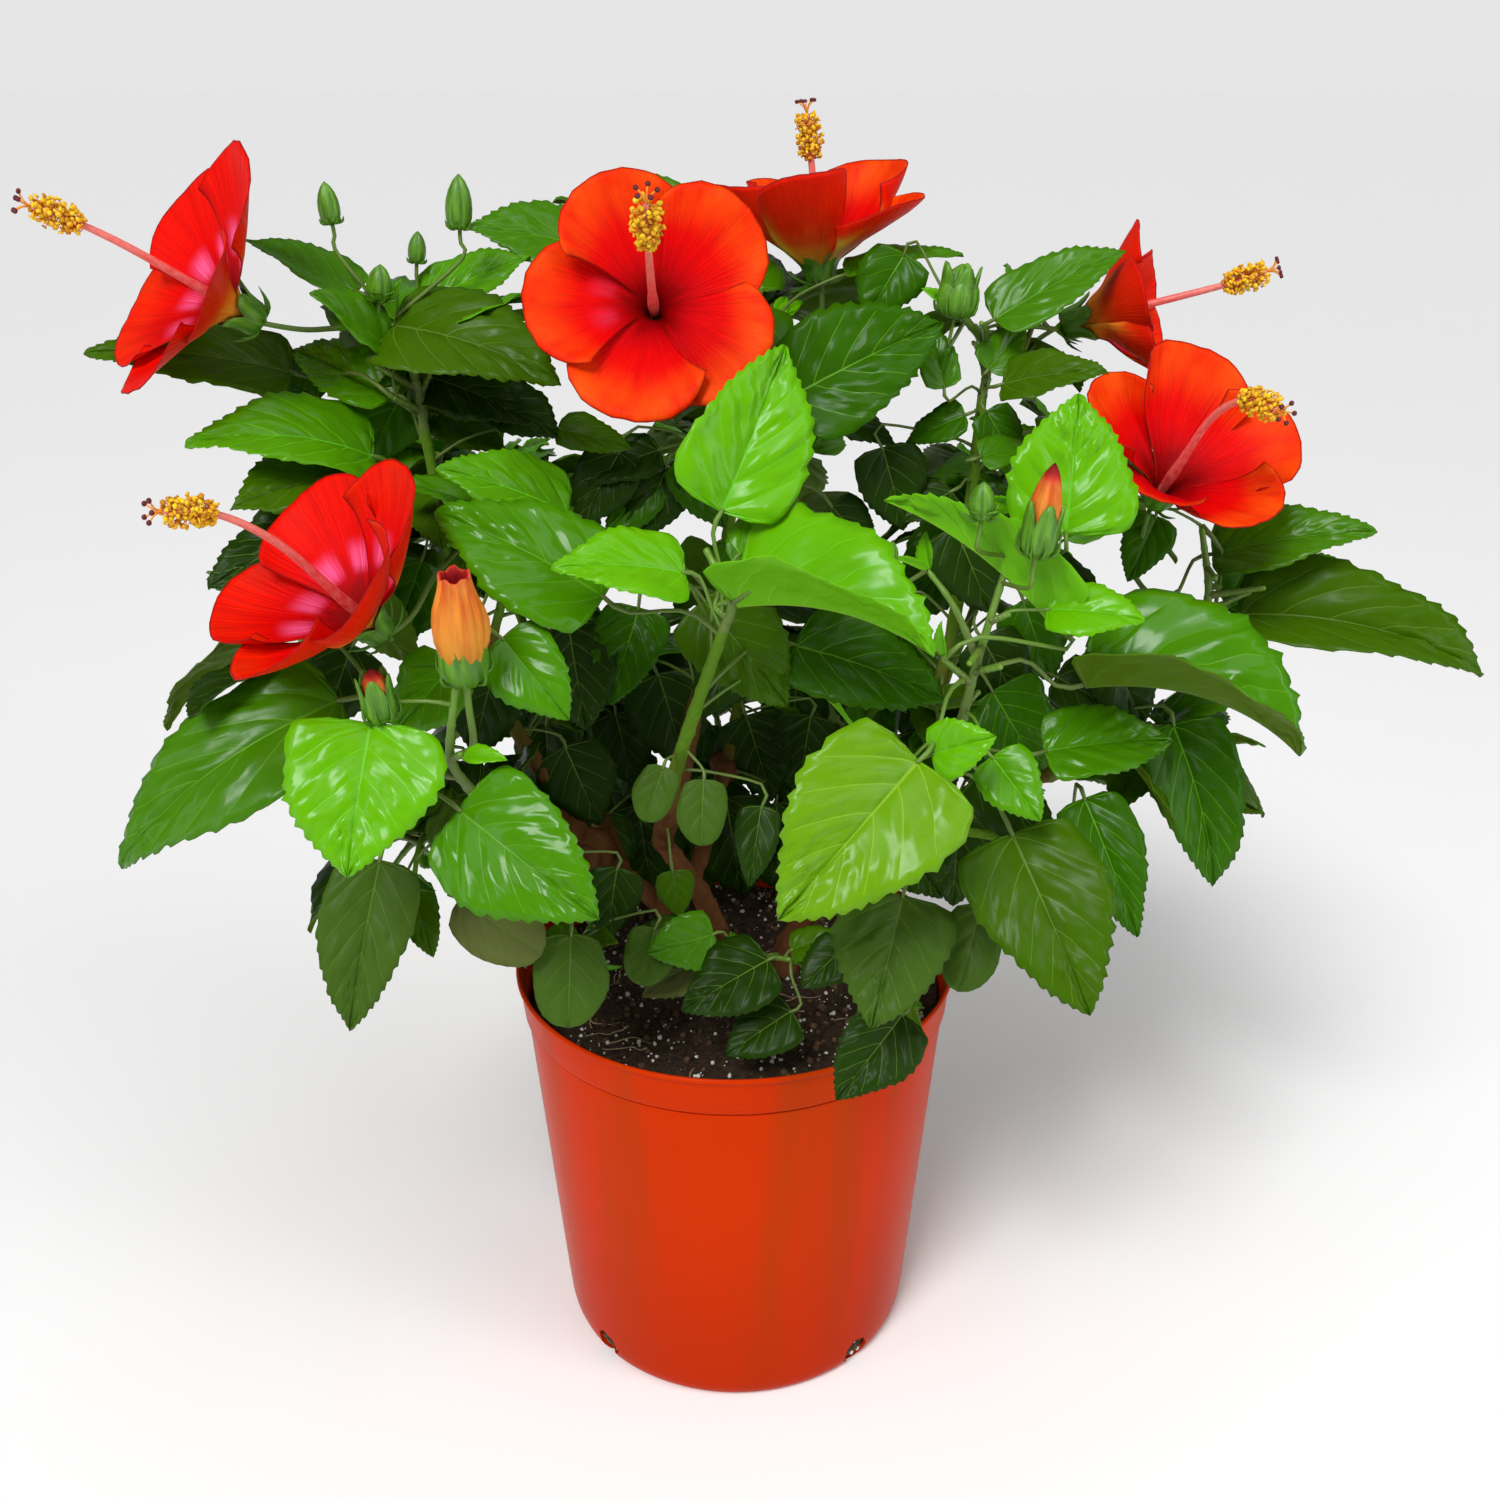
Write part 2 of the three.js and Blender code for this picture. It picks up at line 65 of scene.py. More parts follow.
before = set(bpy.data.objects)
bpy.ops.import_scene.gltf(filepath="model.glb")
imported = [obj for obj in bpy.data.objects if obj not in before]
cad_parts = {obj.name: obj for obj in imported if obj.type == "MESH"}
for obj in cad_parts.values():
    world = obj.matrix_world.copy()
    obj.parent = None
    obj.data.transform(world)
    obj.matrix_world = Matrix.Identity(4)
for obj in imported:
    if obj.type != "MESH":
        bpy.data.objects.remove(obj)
CAD_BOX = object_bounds()

MM = 0.001
TURN = 2 * pi
DEG = pi / 180
GOLDEN_TURN = 137.5 * DEG
UP = np.array((0.0, 0.0, 1.0))
CROWN_AXIS = np.array((10.0, 10.0, 0.0))  # where the crown's middle stands, in plan

# ---------- the plant's own tables, in millimetres ----------

# Blooms: middle of the mouth, radius, depth of the funnel (0 open, 1 deep), how far the column
# stands out of the mouth, how far its end bows up, facing as (turn round from +X, lift above level),
# turn of the first petal, share of orange, stalk's foot, and for each petal its length as a share
# and how far its edge is lifted.
BLOOMS = {
    "flower_left_top": ((-249, -34, 611), 64, 0.35, 75, -5, (210, 34), 70, 0.05, (-186, 0, 584),
                        ((1.06, 0), (1.0, 0), (1.0, -2), (0.96, -3), (0.84, -6))),
    "flower_front": ((-35, -56, 608), 58, 0.1, 76, 14, (272, 25), 37, 0.55, (-34, 12, 556),
                     ((1.0, 0), (0.98, 3), (1.01, 0), (1.03, 2), (1.03, -2))),
    "flower_back": ((42, 80, 633), 58, 1.0, 52, 0, (150, 83), 14, 0.85, (46, 84, 574),
                    ((0.98, -4), (1.12, -22), (1.04, -2), (0.96, -5), (0.92, -5))),
    "flower_right_top": ((207, 56, 586), 42, 0.45, 72, 2, (344, 16), 10, 0.25, (150, 52, 562),
                         ((1.0, 2), (1.04, 0), (0.96, 0), (0.96, 3), (1.0, 0))),
    "flower_right": ((217, -36, 533), 56, 0.5, 62, -26, (295, 54), 64, 0.70, (208, 4, 458),
                     ((1.08, 8), (1.04, 0), (0.98, -3), (0.96, -3), (1.04, 2))),
    "flower_left": ((-176, -122, 494), 61, 0.6, 82, -20, (219, 49), 1, 0.12, (-136, -80, 486),
                    ((1.0, 5), (1.05, 2), (1.04, 0), (1.0, -2), (0.98, 0))),
}
BLOOM_CUP = 15  # depth from the mouth to the throat's floor
BLOOM_TUBE = 24  # length of the closed tube behind the cup

# Buds: foot of the bud, its length, its width, lean from upright as (x, y), kind.
BUDS = (
    ((-188, 0, 632), 19, 10, (-0.1, 0.0), "shut"),
    ((-129, 4, 629), 25, 12.5, (0.05, 0.0), "shut"),
    ((-154, 20, 612), 15, 8.5, (0.1, 0.1), "shut"),
    ((-168, -6, 598), 17, 12, (0.15, -0.1), "young"),
    ((-151, -146, 440), 25, 15, (-0.1, -0.1), "showing"),
    ((131, -124, 507), 41, 16, (0.12, -0.05), "opening"),
    ((107, -122, 523), 17, 11, (0.0, -0.1), "young"),
    ((109, 20, 586), 26, 21, (0.12, 0.0), "leafy"),
    ((70, -110, 500), 10, 6, (0.1, 0.0), "shut"),
)
SPENT_BLOOM = ((-113, -150, 466), 46, 24)  # foot, length and width of the rolled petals

# Tips of the shoots that lead each mass of leaves, where they are not the middle of the mass.
LEADERS = {
    "top_left": (-164, 0, 588),
    "left": (-196, -72, 470),
    "front_left": (-118, -148, 456),
    "middle_left": (-96, -66, 506),
    "front": (-11, -108, 506),
    "top": (14, 46, 598),
    "top_right": (108, 20, 592),
    "front_right": (124, -100, 500),
    "right": (238, 0, 486),
}

# Leaves that give the crown its outline, by mass: where the blade starts, where it ends, its tint, the
# way it faces, its half width as a share of the length, and its fold and droop in degrees where they
# are not 10 and 20.
# Leaves in the shade tint are painted shade: near-black sheets that darken the crown's shaded hollows.
LEADING_LEAVES = {
    "top_left": (
        ((-220, 18, 560), (-314, -4, 573), "olive", "half", 0.22, 12, 30),
        ((-207, 14, 548), (-252, 44, 562), "deep", "half", 0.3),
        ((-176, -14, 525), (-252, -58, 540), "fresh", "half", 0.28, 18, 54),
        ((-180, 0, 601), (-240, 30, 622), "mid", "up", 0.22, 20, 16),
        ((-166, -8, 577), (-194, -30, 605), "mid", "half", 0.34, 24, 16),
        ((-166, 2, 552), (-222, 26, 569), "fresh", "half", 0.32, 20, 20),
        ((-164, -2, 586), (-79, -40, 565), "olive", "half", 0.31, 12, 34),
        ((-150, 14, 594), (-100, 34, 614), "fresh", "half", 0.3, 14, 20),
        ((-150, 10, 559), (-98, -10, 540), "painted_shade", "half", 0.34, 10, 30),
        ((-122, 8, 552), (-86, 4, 530), "painted_shade", "half", 0.4),
        ((-88, 8, 534), (-50, 4, 524), "olive", "half", 0.3),
        ((-166, 20, 550), (-186, 14, 514), "deep", "front", 0.45),
        ((-152, 24, 538), (-116, 18, 520), "olive", "half", 0.35),
    ),
    "top": (
        ((-62, 62, 611), (-133, 44, 626), "mid", "half", 0.34, 12, 26),
        ((-24, 72, 630), (-71, 92, 648), "mid", "half", 0.26, 16, 20),
        ((27, -6, 552), (103, 10, 586), "deep", "front", 0.36, 12, 20),
        ((57, 58, 602), (118, 62, 611), "mid", "up", 0.24, 18, 24),
        ((42, 22, 543), (84, 34, 519), "painted_shade", "half", 0.3, 16, 20),
        ((-38, 22, 520), (-78, 14, 505), "painted_shade", "half", 0.34),
        ((-34, 20, 512), (-50, 12, 474), "painted_shade", "front", 0.4),
        ((-26, 22, 516), (-4, 10, 482), "deep", "front", 0.36),
        ((-58, 18, 520), (-80, 10, 482), "painted_shade", "front", 0.38),
        ((-40, 20, 506), (-66, 12, 478), "deep", "front", 0.36),
    ),
    "middle_left": (
        ((-174, -20, 521), (-233, -64, 512), "olive", "half", 0.36, 10, 24),
        ((-76, -58, 508), (-132, -84, 536), "fresh", "half", 0.34, 10, 26),
        ((-56, -112, 485), (-133, -92, 518), "glossy", "half", 0.34, 8, 34),
        ((-100, -128, 472), (-70, -146, 440), "glossy", "front", 0.38),
        ((-84, -20, 440), (-74, -46, 392), "painted_shade", "front", 0.42, 8, 20),
        ((-48, -16, 448), (-62, -40, 404), "deep", "front", 0.36, 8, 20),
        ((-124, -20, 414), (-136, -26, 370), "painted_shade", "front", 0.45),
    ),
    "left": (
        ((-190, -36, 498), (-248, -66, 474), "painted_shade", "half", 0.36, 10, 24),
        ((-184, -92, 428), (-289, -120, 353), "mid", "half", 0.25, 8, 60),
        ((-134, -66, 436), (-164, -76, 404), "fresh", "front", 0.42),
        ((-160, 0, 468), (-176, -8, 424), "deep", "front", 0.45),
        ((-184, -60, 444), (-200, -68, 402), "painted_shade", "front", 0.45),
    ),
    "front": (
        ((-20, -118, 498), (-76, -138, 506), "bright", "half", 0.32, 16, 34),
        ((2, -118, 484), (86, -160, 476), "bright", "cupped", 0.44, 58, 46),
        ((-4, -106, 522), (24, -70, 588), "bright", "turned", 0.36, 20, 18),
        ((4, -104, 502), (34, -84, 520), "fresh", "half", 0.34, 14, 16),
        ((-14, -58, 466), (27, -70, 415), "olive", "front", 0.36, 12, 20),
        ((0, -76, 490), (42, -66, 510), "fresh", "half", 0.26, 20, 16),
    ),
    "top_right": (
        ((130, 28, 584), (196, 40, 616), "mid", "half", 0.25, 16, 18),
        ((128, 24, 560), (148, 40, 580), "mid", "front", 0.36, 14, 14),
        ((133, 8, 556), (180, -16, 566), "olive", "half", 0.3, 14, 24),
        ((106, 18, 552), (98, 34, 582), "mid", "front", 0.3, 16, 14),
        ((128, 22, 540), (146, 14, 512), "deep", "front", 0.36),
        ((118, 22, 538), (88, 26, 522), "deep", "half", 0.34),
        ((86, 44, 614), (66, 36, 582), "deep", "front", 0.45),
    ),
    "middle_right": (
        ((150, -92, 508), (156, -66, 566), "bright", "front", 0.46, 8, 14),
        ((124, 6, 520), (152, 14, 524), "mid", "half", 0.36, 12, 20),
        ((30, -50, 440), (104, -68, 417), "deep", "half", 0.34, 10, 30),
        ((34, -52, 424), (62, -66, 398), "fresh", "away", 0.16, 30, 20),
        ((50, 18, 492), (74, 14, 466), "painted_shade", "front", 0.38, 10, 16),
        ((112, 16, 500), (86, 6, 486), "painted_shade", "half", 0.4, 10, 16),
        ((112, 0, 486), (132, -8, 442), "painted_shade", "front", 0.42),
        ((76, 20, 522), (88, 12, 480), "painted_shade", "front", 0.42),
    ),
    "right": (
        ((245, 0, 471), (318, -24, 490), "mid", "half", 0.25, 18, 26),
        ((260, -6, 441), (378, -36, 418), "olive", "half", 0.25, 34, 60),
        ((262, 18, 436), (322, 30, 459), "deep", "half", 0.32, 10, 26),
        ((214, -2, 492), (200, -12, 460), "deep", "front", 0.36, 12, 20),
    ),
    "front_right": (
        ((164, -95, 437), (258, -128, 416), "glossy", "cupped", 0.44, 52, 60),
        ((146, -112, 470), (68, -94, 525), "bright", "away", 0.28, 40, 30),
        ((140, -114, 480), (180, -130, 480), "bright", "half", 0.36, 14, 30),
        ((82, -152, 424), (20, -194, 368), "yellow", "front", 0.4, 20, 22),
        ((88, -146, 424), (114, -158, 438), "bright", "front", 0.42, 14, 20),
        ((130, -124, 374), (162, -176, 308), "olive", "front", 0.36, 14, 24),
        ((118, -126, 414), (138, -148, 392), "fresh", "front", 0.4, 12, 16),
    ),
    "low_right": (
        ((170, -90, 376), (194, -124, 318), "deep", "front", 0.26, 16, 26),
        ((80, -132, 346), (64, -166, 294), "grey", "front", 0.44, 10, 16),
        ((120, -112, 328), (108, -134, 294), "grey", "front", 0.34, 10, 14),
        ((86, -14, 332), (112, -36, 290), "painted_shade", "front", 0.45, 10, 12),
        ((120, -22, 332), (118, -34, 284), "painted_shade", "front", 0.45, 10, 12),
    ),
    "right_low": (
        ((150, -84, 398), (214, -76, 400), "glossy", "half", 0.32, 16, 26),
        ((193, -58, 388), (218, -86, 356), "olive", "away", 0.3, 16, 16),
        ((224, -38, 393), (245, -70, 316), "deep", "half", 0.3, 20, 50),
        ((150, 0, 446), (166, -8, 404), "deep", "front", 0.42),
        ((168, -10, 408), (206, -24, 388), "painted_shade", "half", 0.42),
        ((128, -10, 430), (150, -20, 392), "painted_shade", "front", 0.42),
        ((132, -30, 408), (158, -40, 366), "deep", "front", 0.48),
        ((196, -14, 418), (214, -22, 386), "painted_shade", "front", 0.45),
    ),
    "front_left": (
        ((-119, -158, 403), (-56, -190, 366), "glossy", "front", 0.38),
        ((-156, -148, 440), (-163, -186, 384), "bright", "front", 0.52),
    ),
    "low_left": (
        ((-168, -112, 354), (-183, -144, 278), "grey", "front", 0.28, 14, 20),
        ((-158, -100, 334), (-146, -116, 302), "olive", "front", 0.3, 12, 12),
    ),
    "foot_left": (
        ((-132, -110, 332), (-92, -124, 308), "drab", "front", 0.36, 6, 12),
        ((-79, -110, 312), (-80, -132, 272), "grey", "front", 0.4, 6, 10),
    ),
    "rim": (
        ((84, -122, 274), (50, -146, 240), "painted_shade", "front", 0.38, 12, 14),
        ((57, -88, 292), (34, -100, 274), "painted_shade", "half", 0.42, 8, 12),
    ),
    "foot": (
        ((-33, -88, 392), (-42, -100, 368), "grey", "front", 0.36, 8, 10),
        ((-14, -90, 386), (-15, -104, 357), "grey", "front", 0.37, 6, 10),
        ((14, -78, 366), (8, -96, 330), "painted_shade", "front", 0.28, 10, 10),
        ((-10, -80, 294), (-44, -92, 290), "mid", "front", 0.42, 10, 14),
        ((18, -88, 284), (-26, -108, 266), "painted_shade", "half", 0.4, 8, 14),
        ((30, -92, 256), (-4, -106, 238), "painted_shade", "half", 0.42, 8, 14),
        ((-40, -80, 298), (-47, -94, 272), "grey", "front", 0.42, 8, 10),
        ((-60, -60, 322), (-66, -70, 284), "painted_shade", "front", 0.36, 8, 12),
        ((-32, -52, 316), (-28, -60, 292), "olive", "front", 0.4, 8, 12),
        ((44, -40, 330), (34, -56, 288), "painted_shade", "front", 0.38, 8, 12),
    ),
    # painted shade: near-black leaves over the pot's far rim, darkening the hollow behind the stems
    "low_back": (
        ((6, 72, 352), (22, 64, 300), "painted_shade", "front", 0.42, 8, 12),
        ((44, 72, 352), (36, 64, 302), "painted_shade", "front", 0.42, 8, 12),
        ((-70, 66, 356), (-60, 62, 312), "painted_shade", "front", 0.42, 8, 12),
        ((-84, 54, 300), (-88, 52, 238), "painted_shade", "front", 0.42, 8, 12),
        ((-58, 60, 300), (-50, 58, 236), "painted_shade", "front", 0.42, 8, 12),
        ((-34, 66, 292), (-20, 62, 236), "painted_shade", "front", 0.42, 8, 12),
        ((-6, 62, 304), (4, 60, 237), "painted_shade", "front", 0.42, 8, 12),
        ((24, 66, 298), (32, 60, 236), "painted_shade", "front", 0.42, 8, 12),
        ((54, 58, 300), (60, 54, 238), "painted_shade", "front", 0.42, 8, 12),
        ((-92, 4, 362), (-74, -4, 318), "painted_shade", "front", 0.45, 8, 12),
    ),
}
WAYS = {  # the ways that a blade faces
    "up": (0.0, -0.25, 1.0),
    "half": (0.0, -0.62, 0.80),
    "front": (0.0, -0.92, 0.50),
    "away": (0.0, 0.55, 1.0),
    "cupped": (0.0, -0.14, 1.0),
    "turned": (0.34, -0.92, 0.40),
}

# Places where the crown stands open: middle and radius of each opening, in the upright plane
# through the pot's axis, as seen from the front.
OPENINGS = (
    (-74, 531, 15), (-58, 508, 12), (77, 544, 20), (66, 520, 14), (-17, 478, 8), (-24, 363, 5),
    (14, 387, 5), (-64, 306, 5), (-31, 293, 5), (-223, 369, 16), (126, 281, 9), (193, 467, 16),
    (-322, 478, 42), (-296, 440, 30), (-266, 478, 14), (330, 520, 46), (232, 500, 12),
    (238, 405, 14), (-238, 300, 24), (-262, 330, 14), (250, 300, 30), (-300, 560, 20),
    (-317, 424, 31), (368, 467, 26), (309, 336, 22), (272, 435, 4), (248, 440, 8), (235, 459, 8),
    (-195, 580, 7), (-207, 596, 6), (-175, 556, 4), (-216, 585, 6), (-182, 613, 6), (-155, 646, 12),
    (-173, 534, 4), (-297, 413, 12), (-318, 384, 12), (-277, 421, 9), (139, 201, 18), (56, 512, 16),
    (96, 616, 13), (282, 372, 8), (288, 338, 9), (-130, 220, 8), (282, 357, 8), (314, 392, 6),
)

# ---------- small vector helpers ----------


def unit(vector):
    return vector / max(norm(vector), 1e-9)


def squared_up(vector, direction):
    """The part of a vector that stands square to a direction, as a unit vector."""
    side = vector - direction * np.dot(vector, direction)
    if norm(side) < 1e-4:
        side = np.cross(direction, (0.3, 1.0, 0.2))
    return unit(side)


def facing_direction(facing):
    turn, lift = facing[0] * DEG, facing[1] * DEG
    return np.array((cos(turn) * cos(lift), sin(turn) * cos(lift), sin(lift)))


def smooth_path(points, steps):
    """Evenly spread points on a smooth curve through the given ones."""
    points = np.asarray(points, float)
    if len(points) == 2:
        return points[0] + (points[1] - points[0]) * np.linspace(0, 1, steps)[:, None]
    ends = np.vstack((2 * points[0] - points[1], points, 2 * points[-1] - points[-2]))
    dense = []
    for index in range(1, len(ends) - 2):
        a, b, c, d = ends[index - 1:index + 3]
        t = np.linspace(0, 1, 13)[:-1, None]
        dense.append(0.5 * (2 * b + (c - a) * t + (2 * a - 5 * b + 4 * c - d) * t ** 2
                            + (3 * b - a - 3 * c + d) * t ** 3))
    dense = np.vstack((*dense, points[-1:]))
    length = distances_along(dense)
    wanted = np.linspace(0, length[-1], steps)
    return np.column_stack([np.interp(wanted, length, dense[:, axis]) for axis in range(3)])


def distances_along(path):
    """How far along a path each of its points lies."""
    return np.concatenate(([0], np.cumsum(norm(np.diff(path, axis=0), axis=1))))


def path_frames(path):
    """Directions along a path and two sides that turn as little as they can."""
    along = np.gradient(path, axis=0)
    along /= np.maximum(norm(along, axis=1), 1e-9)[:, None]
    side = squared_up(np.array((0.31, 0.92, 0.17)), along[0])
    sides = []
    for direction in along:
        side = squared_up(side, direction)
        sides.append(side)
    sides = np.array(sides)
    return along, sides, np.cross(along, sides)


# ---------- gathering meshes ----------


def add_object(name, data):
    made = bpy.data.objects.new(name, data)
    bpy.context.scene.collection.objects.link(made)
    return made


class Gathered:
    """Points, faces, material slots and pattern places of one piece, gathered bit by bit."""

    def __init__(self):
        self.points = []
        self.faces = {3: [], 4: []}
        self.slots = {3: [], 4: []}
        self.places = []
        self.tones = []
        self.count = 0

    def add(self, points, quads=None, triangles=None, slot=0, places=None, tone=0.5):
        """Adds a bit: its points in millimetres, its faces, and their slot or list of slots."""
        points = np.asarray(points, float)
        for faces, corners in ((quads, 4), (triangles, 3)):
            if faces is not None and len(faces):
                faces = np.asarray(faces, int)
                chosen = slot[corners] if isinstance(slot, dict) else slot
                self.faces[corners].append(faces + self.count)
                self.slots[corners].append(np.broadcast_to(np.asarray(chosen, int), len(faces)))
        self.points.append(points)
        self.places.append(np.zeros((len(points), 2)) if places is None else np.asarray(places, float))
        self.tones.append(np.broadcast_to(np.asarray(tone, float), len(points)))
        self.count += len(points)

    def piece(self, name, materials, slot_name, replaced=(), smooth_angle=None):
        """Makes the object, in metres, hangs it on the root body and hides the imported parts it replaces.
        """
        mesh = bpy.data.meshes.new(name)
        points = np.vstack(self.points) * MM
        loops, starts, sizes, slots = [], [], [], []
        start = 0
        for corners in (4, 3):
            if not self.faces[corners]:
                continue
            faces = np.vstack(self.faces[corners])
            loops.append(faces.ravel())
            starts.append(start + corners * np.arange(len(faces)))
            sizes.append(np.full(len(faces), corners))
            slots.append(np.concatenate(self.slots[corners]))
            start += faces.size
        loops = np.concatenate(loops)
        mesh.vertices.add(len(points))
        mesh.vertices.foreach_set("co", points.ravel())
        mesh.loops.add(len(loops))
        mesh.loops.foreach_set("vertex_index", loops)
        mesh.polygons.add(sum(map(len, starts)))
        for key, values in (("loop_start", starts), ("loop_total", sizes), ("material_index", slots)):
            mesh.polygons.foreach_set(key, np.concatenate(values))
        mesh.update(calc_edges=True)
        mesh.polygons.foreach_set("use_smooth", np.ones(len(mesh.polygons), bool))
        if smooth_angle is not None:
            mesh.set_sharp_from_angle(angle=smooth_angle * DEG)
        pattern = mesh.uv_layers.new(name="Pattern")
        pattern.data.foreach_set("uv", np.vstack(self.places)[loops].ravel())
        tone = mesh.attributes.new("tone", "FLOAT", "POINT")
        tone.data.foreach_set("value", np.concatenate(self.tones))
        for material in materials:
            mesh.materials.append(material)
        piece = add_object(name, mesh)
        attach(piece, "root")
        if replaced:
            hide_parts(*replaced)
        return piece


def grid_quads(rows, columns, closed=False):
    """Quads between neighbouring rows of points; closed joins each row's end to its start."""
    across = columns if closed else columns - 1
    row, column = np.meshgrid(np.arange(rows - 1), np.arange(across), indexing="ij")
    here = row * columns + column
    beside = row * columns + (column + 1) % columns
    return np.stack((here, beside, beside + columns, here + columns), axis=-1).reshape(-1, 4)


def add_rings(gathered, points, ends, places, slot, tone):
    """Rings of points joined into a skin, with a fan of triangles to the middle point of each end."""
    rings, sides = points.shape[:2]
    ring = np.arange(sides)
    after = (ring + 1) % sides
    last = (rings - 1) * sides
    foot = np.stack((np.full(sides, rings * sides), after, ring), -1)
    tip = np.stack((np.full(sides, rings * sides + 1), ring + last, after + last), -1)
    places = np.vstack((places.reshape(-1, 2), (0, 0), (0, places[-1, 0, 1])))
    gathered.add(np.vstack((points.reshape(-1, 3), ends)), grid_quads(rings, sides, closed=True),
                 np.vstack((foot, tip)), slot, places, tone)


def add_tube(gathered, path, radii, sides=8, slot=0, tone=0.5, relief=None):
    """A round limb along a path, with closed ends. relief gives an extra radius at (ring, side)."""
    path = np.asarray(path, float)
    radii = np.broadcast_to(np.asarray(radii, float), len(path))
    along, side, other = path_frames(path)
    turn = np.arange(sides) * TURN / sides
    reach = radii[:, None] + (0 if relief is None else relief)
    points = (path[:, None] + side[:, None] * (np.cos(turn) * reach)[..., None]
              + other[:, None] * (np.sin(turn) * reach)[..., None])
    ends = (path[0] - along[0] * radii[0] * 0.4, path[-1] + along[-1] * radii[-1] * 0.4)
    length = distances_along(path)[:, None] / 100
    places = np.stack(np.broadcast_arrays(turn[None] / TURN, length), -1)
    tones = tone if np.isscalar(tone) else np.append(np.repeat(tone, sides), (tone[0], tone[-1]))
    add_rings(gathered, points, ends, places, slot, tones)


def add_lathe(gathered, place, axis, outline, sides=12, slot=0, shape=None, tone=0.5, start=None):
    """A turned solid. outline lists (radius, height); shape changes radius and height by the turn."""
    outline = np.asarray(outline, float)
    axis = unit(np.asarray(axis, float))
    side = squared_up(np.array((0.0, 0.1, 1.0)) if start is None else start, axis)
    other = np.cross(axis, side)
    turn = np.arange(sides) * TURN / sides
    radius = np.repeat(outline[:, :1], sides, axis=1)
    height = np.repeat(outline[:, 1:], sides, axis=1)
    if shape is not None:
        radius, height = shape(radius, height, turn[None])
    points = (np.asarray(place, float) + side * (np.cos(turn) * radius)[..., None]
              + other * (np.sin(turn) * radius)[..., None] + axis * height[..., None])
    share = np.linspace(0, 1, len(outline))[:, None]
    places = np.stack(np.broadcast_arrays(turn[None] / TURN, share), -1)
    add_rings(gathered, points, (points[0].mean(0), points[-1].mean(0)), places, slot, tone)


# ---------- the leaf ----------

LEAF_SHAPES = {  # where each side vein leaves the midrib and meets the edge, strips, teeth, bluntness
    "large": (((0.004, 0.11), (0.014, 0.36), (0.16, 0.55), (0.34, 0.70), (0.53, 0.825), (0.72, 0.925)),
              7, 1.0, 0.0),
    "common": (((0.004, 0.14), (0.016, 0.40), (0.22, 0.62), (0.46, 0.79), (0.70, 0.92)), 4, 1.0, 0.0),
    "round": (((0.004, 0.14), (0.016, 0.42), (0.26, 0.68), (0.52, 0.87)), 4, 0.25, 1.0),
    "tip": (((0.006, 0.30), (0.30, 0.62), (0.60, 0.87)), 3, 1.0, 0.0),
}
BETWEEN_VEINS = (  # rows between two side veins: place, puff and tooth
    ((0.28, 0.8, -0.7), (0.54, 1.0, 0.9), (0.78, 0.75, -0.6)),
    ((0.18, 0.60, -0.2), (0.34, 0.95, -0.7), (0.50, 1.0, 0.7), (0.66, 0.95, 0.5), (0.83, 0.65, -0.7)),
)


@functools.lru_cache
def leaf_pattern(shape):
    """The flat leaf, one long and one wide: places, puff between the veins, and faces.

    Rows follow the side veins from the midrib out to the edge. The lowest veins spring from the
    leaf's foot, each vein is a narrow strip of its own faces, and the edge has two teeth to a vein.
    """
    veins, strips, toothed, blunt = LEAF_SHAPES[shape]
    rows = []  # place on the midrib, place on the edge, puff, tooth, whether a vein starts here
    for (start, edge), (next_start, next_edge) in zip(veins, (*veins[1:], (1.0, 1.0))):
        rows.append((start, edge, 0.0, 1.0, True))
        rows.append((start + 0.008, edge + 0.004, 0.0, 0.8, False))
        for share, puff, tooth in BETWEEN_VEINS[strips > 6]:
            rows.append((start + (next_start - start) * share, edge + (next_edge - edge) * share,
                         puff, tooth, False))
    rows = [(0.0015, 0.03, 0.0, 0.0, False), *rows]
    root, edge, phases, teeth, is_vein = np.array(rows, float).T
    inner = np.linspace(0, 1, strips + 1)[1:] ** 0.9
    half = np.concatenate(([0.022], inner))
    across = np.concatenate((-half[::-1], (0.0,), half))
    narrow, full = (0.5, 0.518) if blunt else (0.95, 0.430)
    width = edge ** 0.42 * (1 - edge) ** narrow / full
    calm = np.clip((edge - 0.14) * 6, 0, 1) * np.clip((1 - edge) * 9, 0.3, 1) * toothed * 0.025
    width *= 1 + teeth * calm
    lobe = -0.075 * np.sin(np.clip(edge / 0.32, 0, 1) * pi)
    reach = np.abs(across)
    x = across[None] * width[:, None]
    rise = (edge + lobe + teeth * calm * 0.6 - root)[:, None]
    y = root[:, None] + rise * reach[None] ** 1.22
    quilt = np.where(np.arange(len(across)) % 2, 1.0, 0.66 if strips > 6 else 1.0)
    puff = phases[:, None] * (np.sin(np.clip(reach, 0, 1) * pi) ** 0.6 * quilt)[None]
    columns = len(across)
    flat = np.vstack((np.column_stack((x.ravel(), y.ravel())), (0, 0), (0, 1)))
    puff = np.append(puff.ravel(), (0, 0))
    share = np.append(np.repeat(across[None], len(rows), 0).ravel(), (0, 0))
    quads = grid_quads(len(rows), columns)
    middle = columns // 2
    row_of, column_of = np.divmod(np.arange(len(quads)), columns - 1)
    vein = (is_vein[row_of] > 0) & (reach[column_of] < 0.95) & (reach[column_of + 1] < 0.95)
    vein |= (column_of == middle) | (column_of == middle - 1)
    base, tip = len(flat) - 2, len(flat) - 1
    line = np.arange(columns - 1)
    last = (len(rows) - 1) * columns
    start_fan = np.stack((np.full(columns - 1, base), line + 1, line), -1)
    end_fan = np.stack((np.full(columns - 1, tip), last + line, last + line + 1), -1)
    rim_left = np.arange(len(rows)) * columns
    rim = np.concatenate(([base], rim_left + columns - 1, [tip], rim_left[::-1]))
    return flat, puff, share, quads, vein, np.vstack((start_fan, end_fan)), rim


PALE_TINTS = ("yellow", "bright", "fresh")
DULL_TINTS = ("grey", "drab", "painted_shade", "olive")


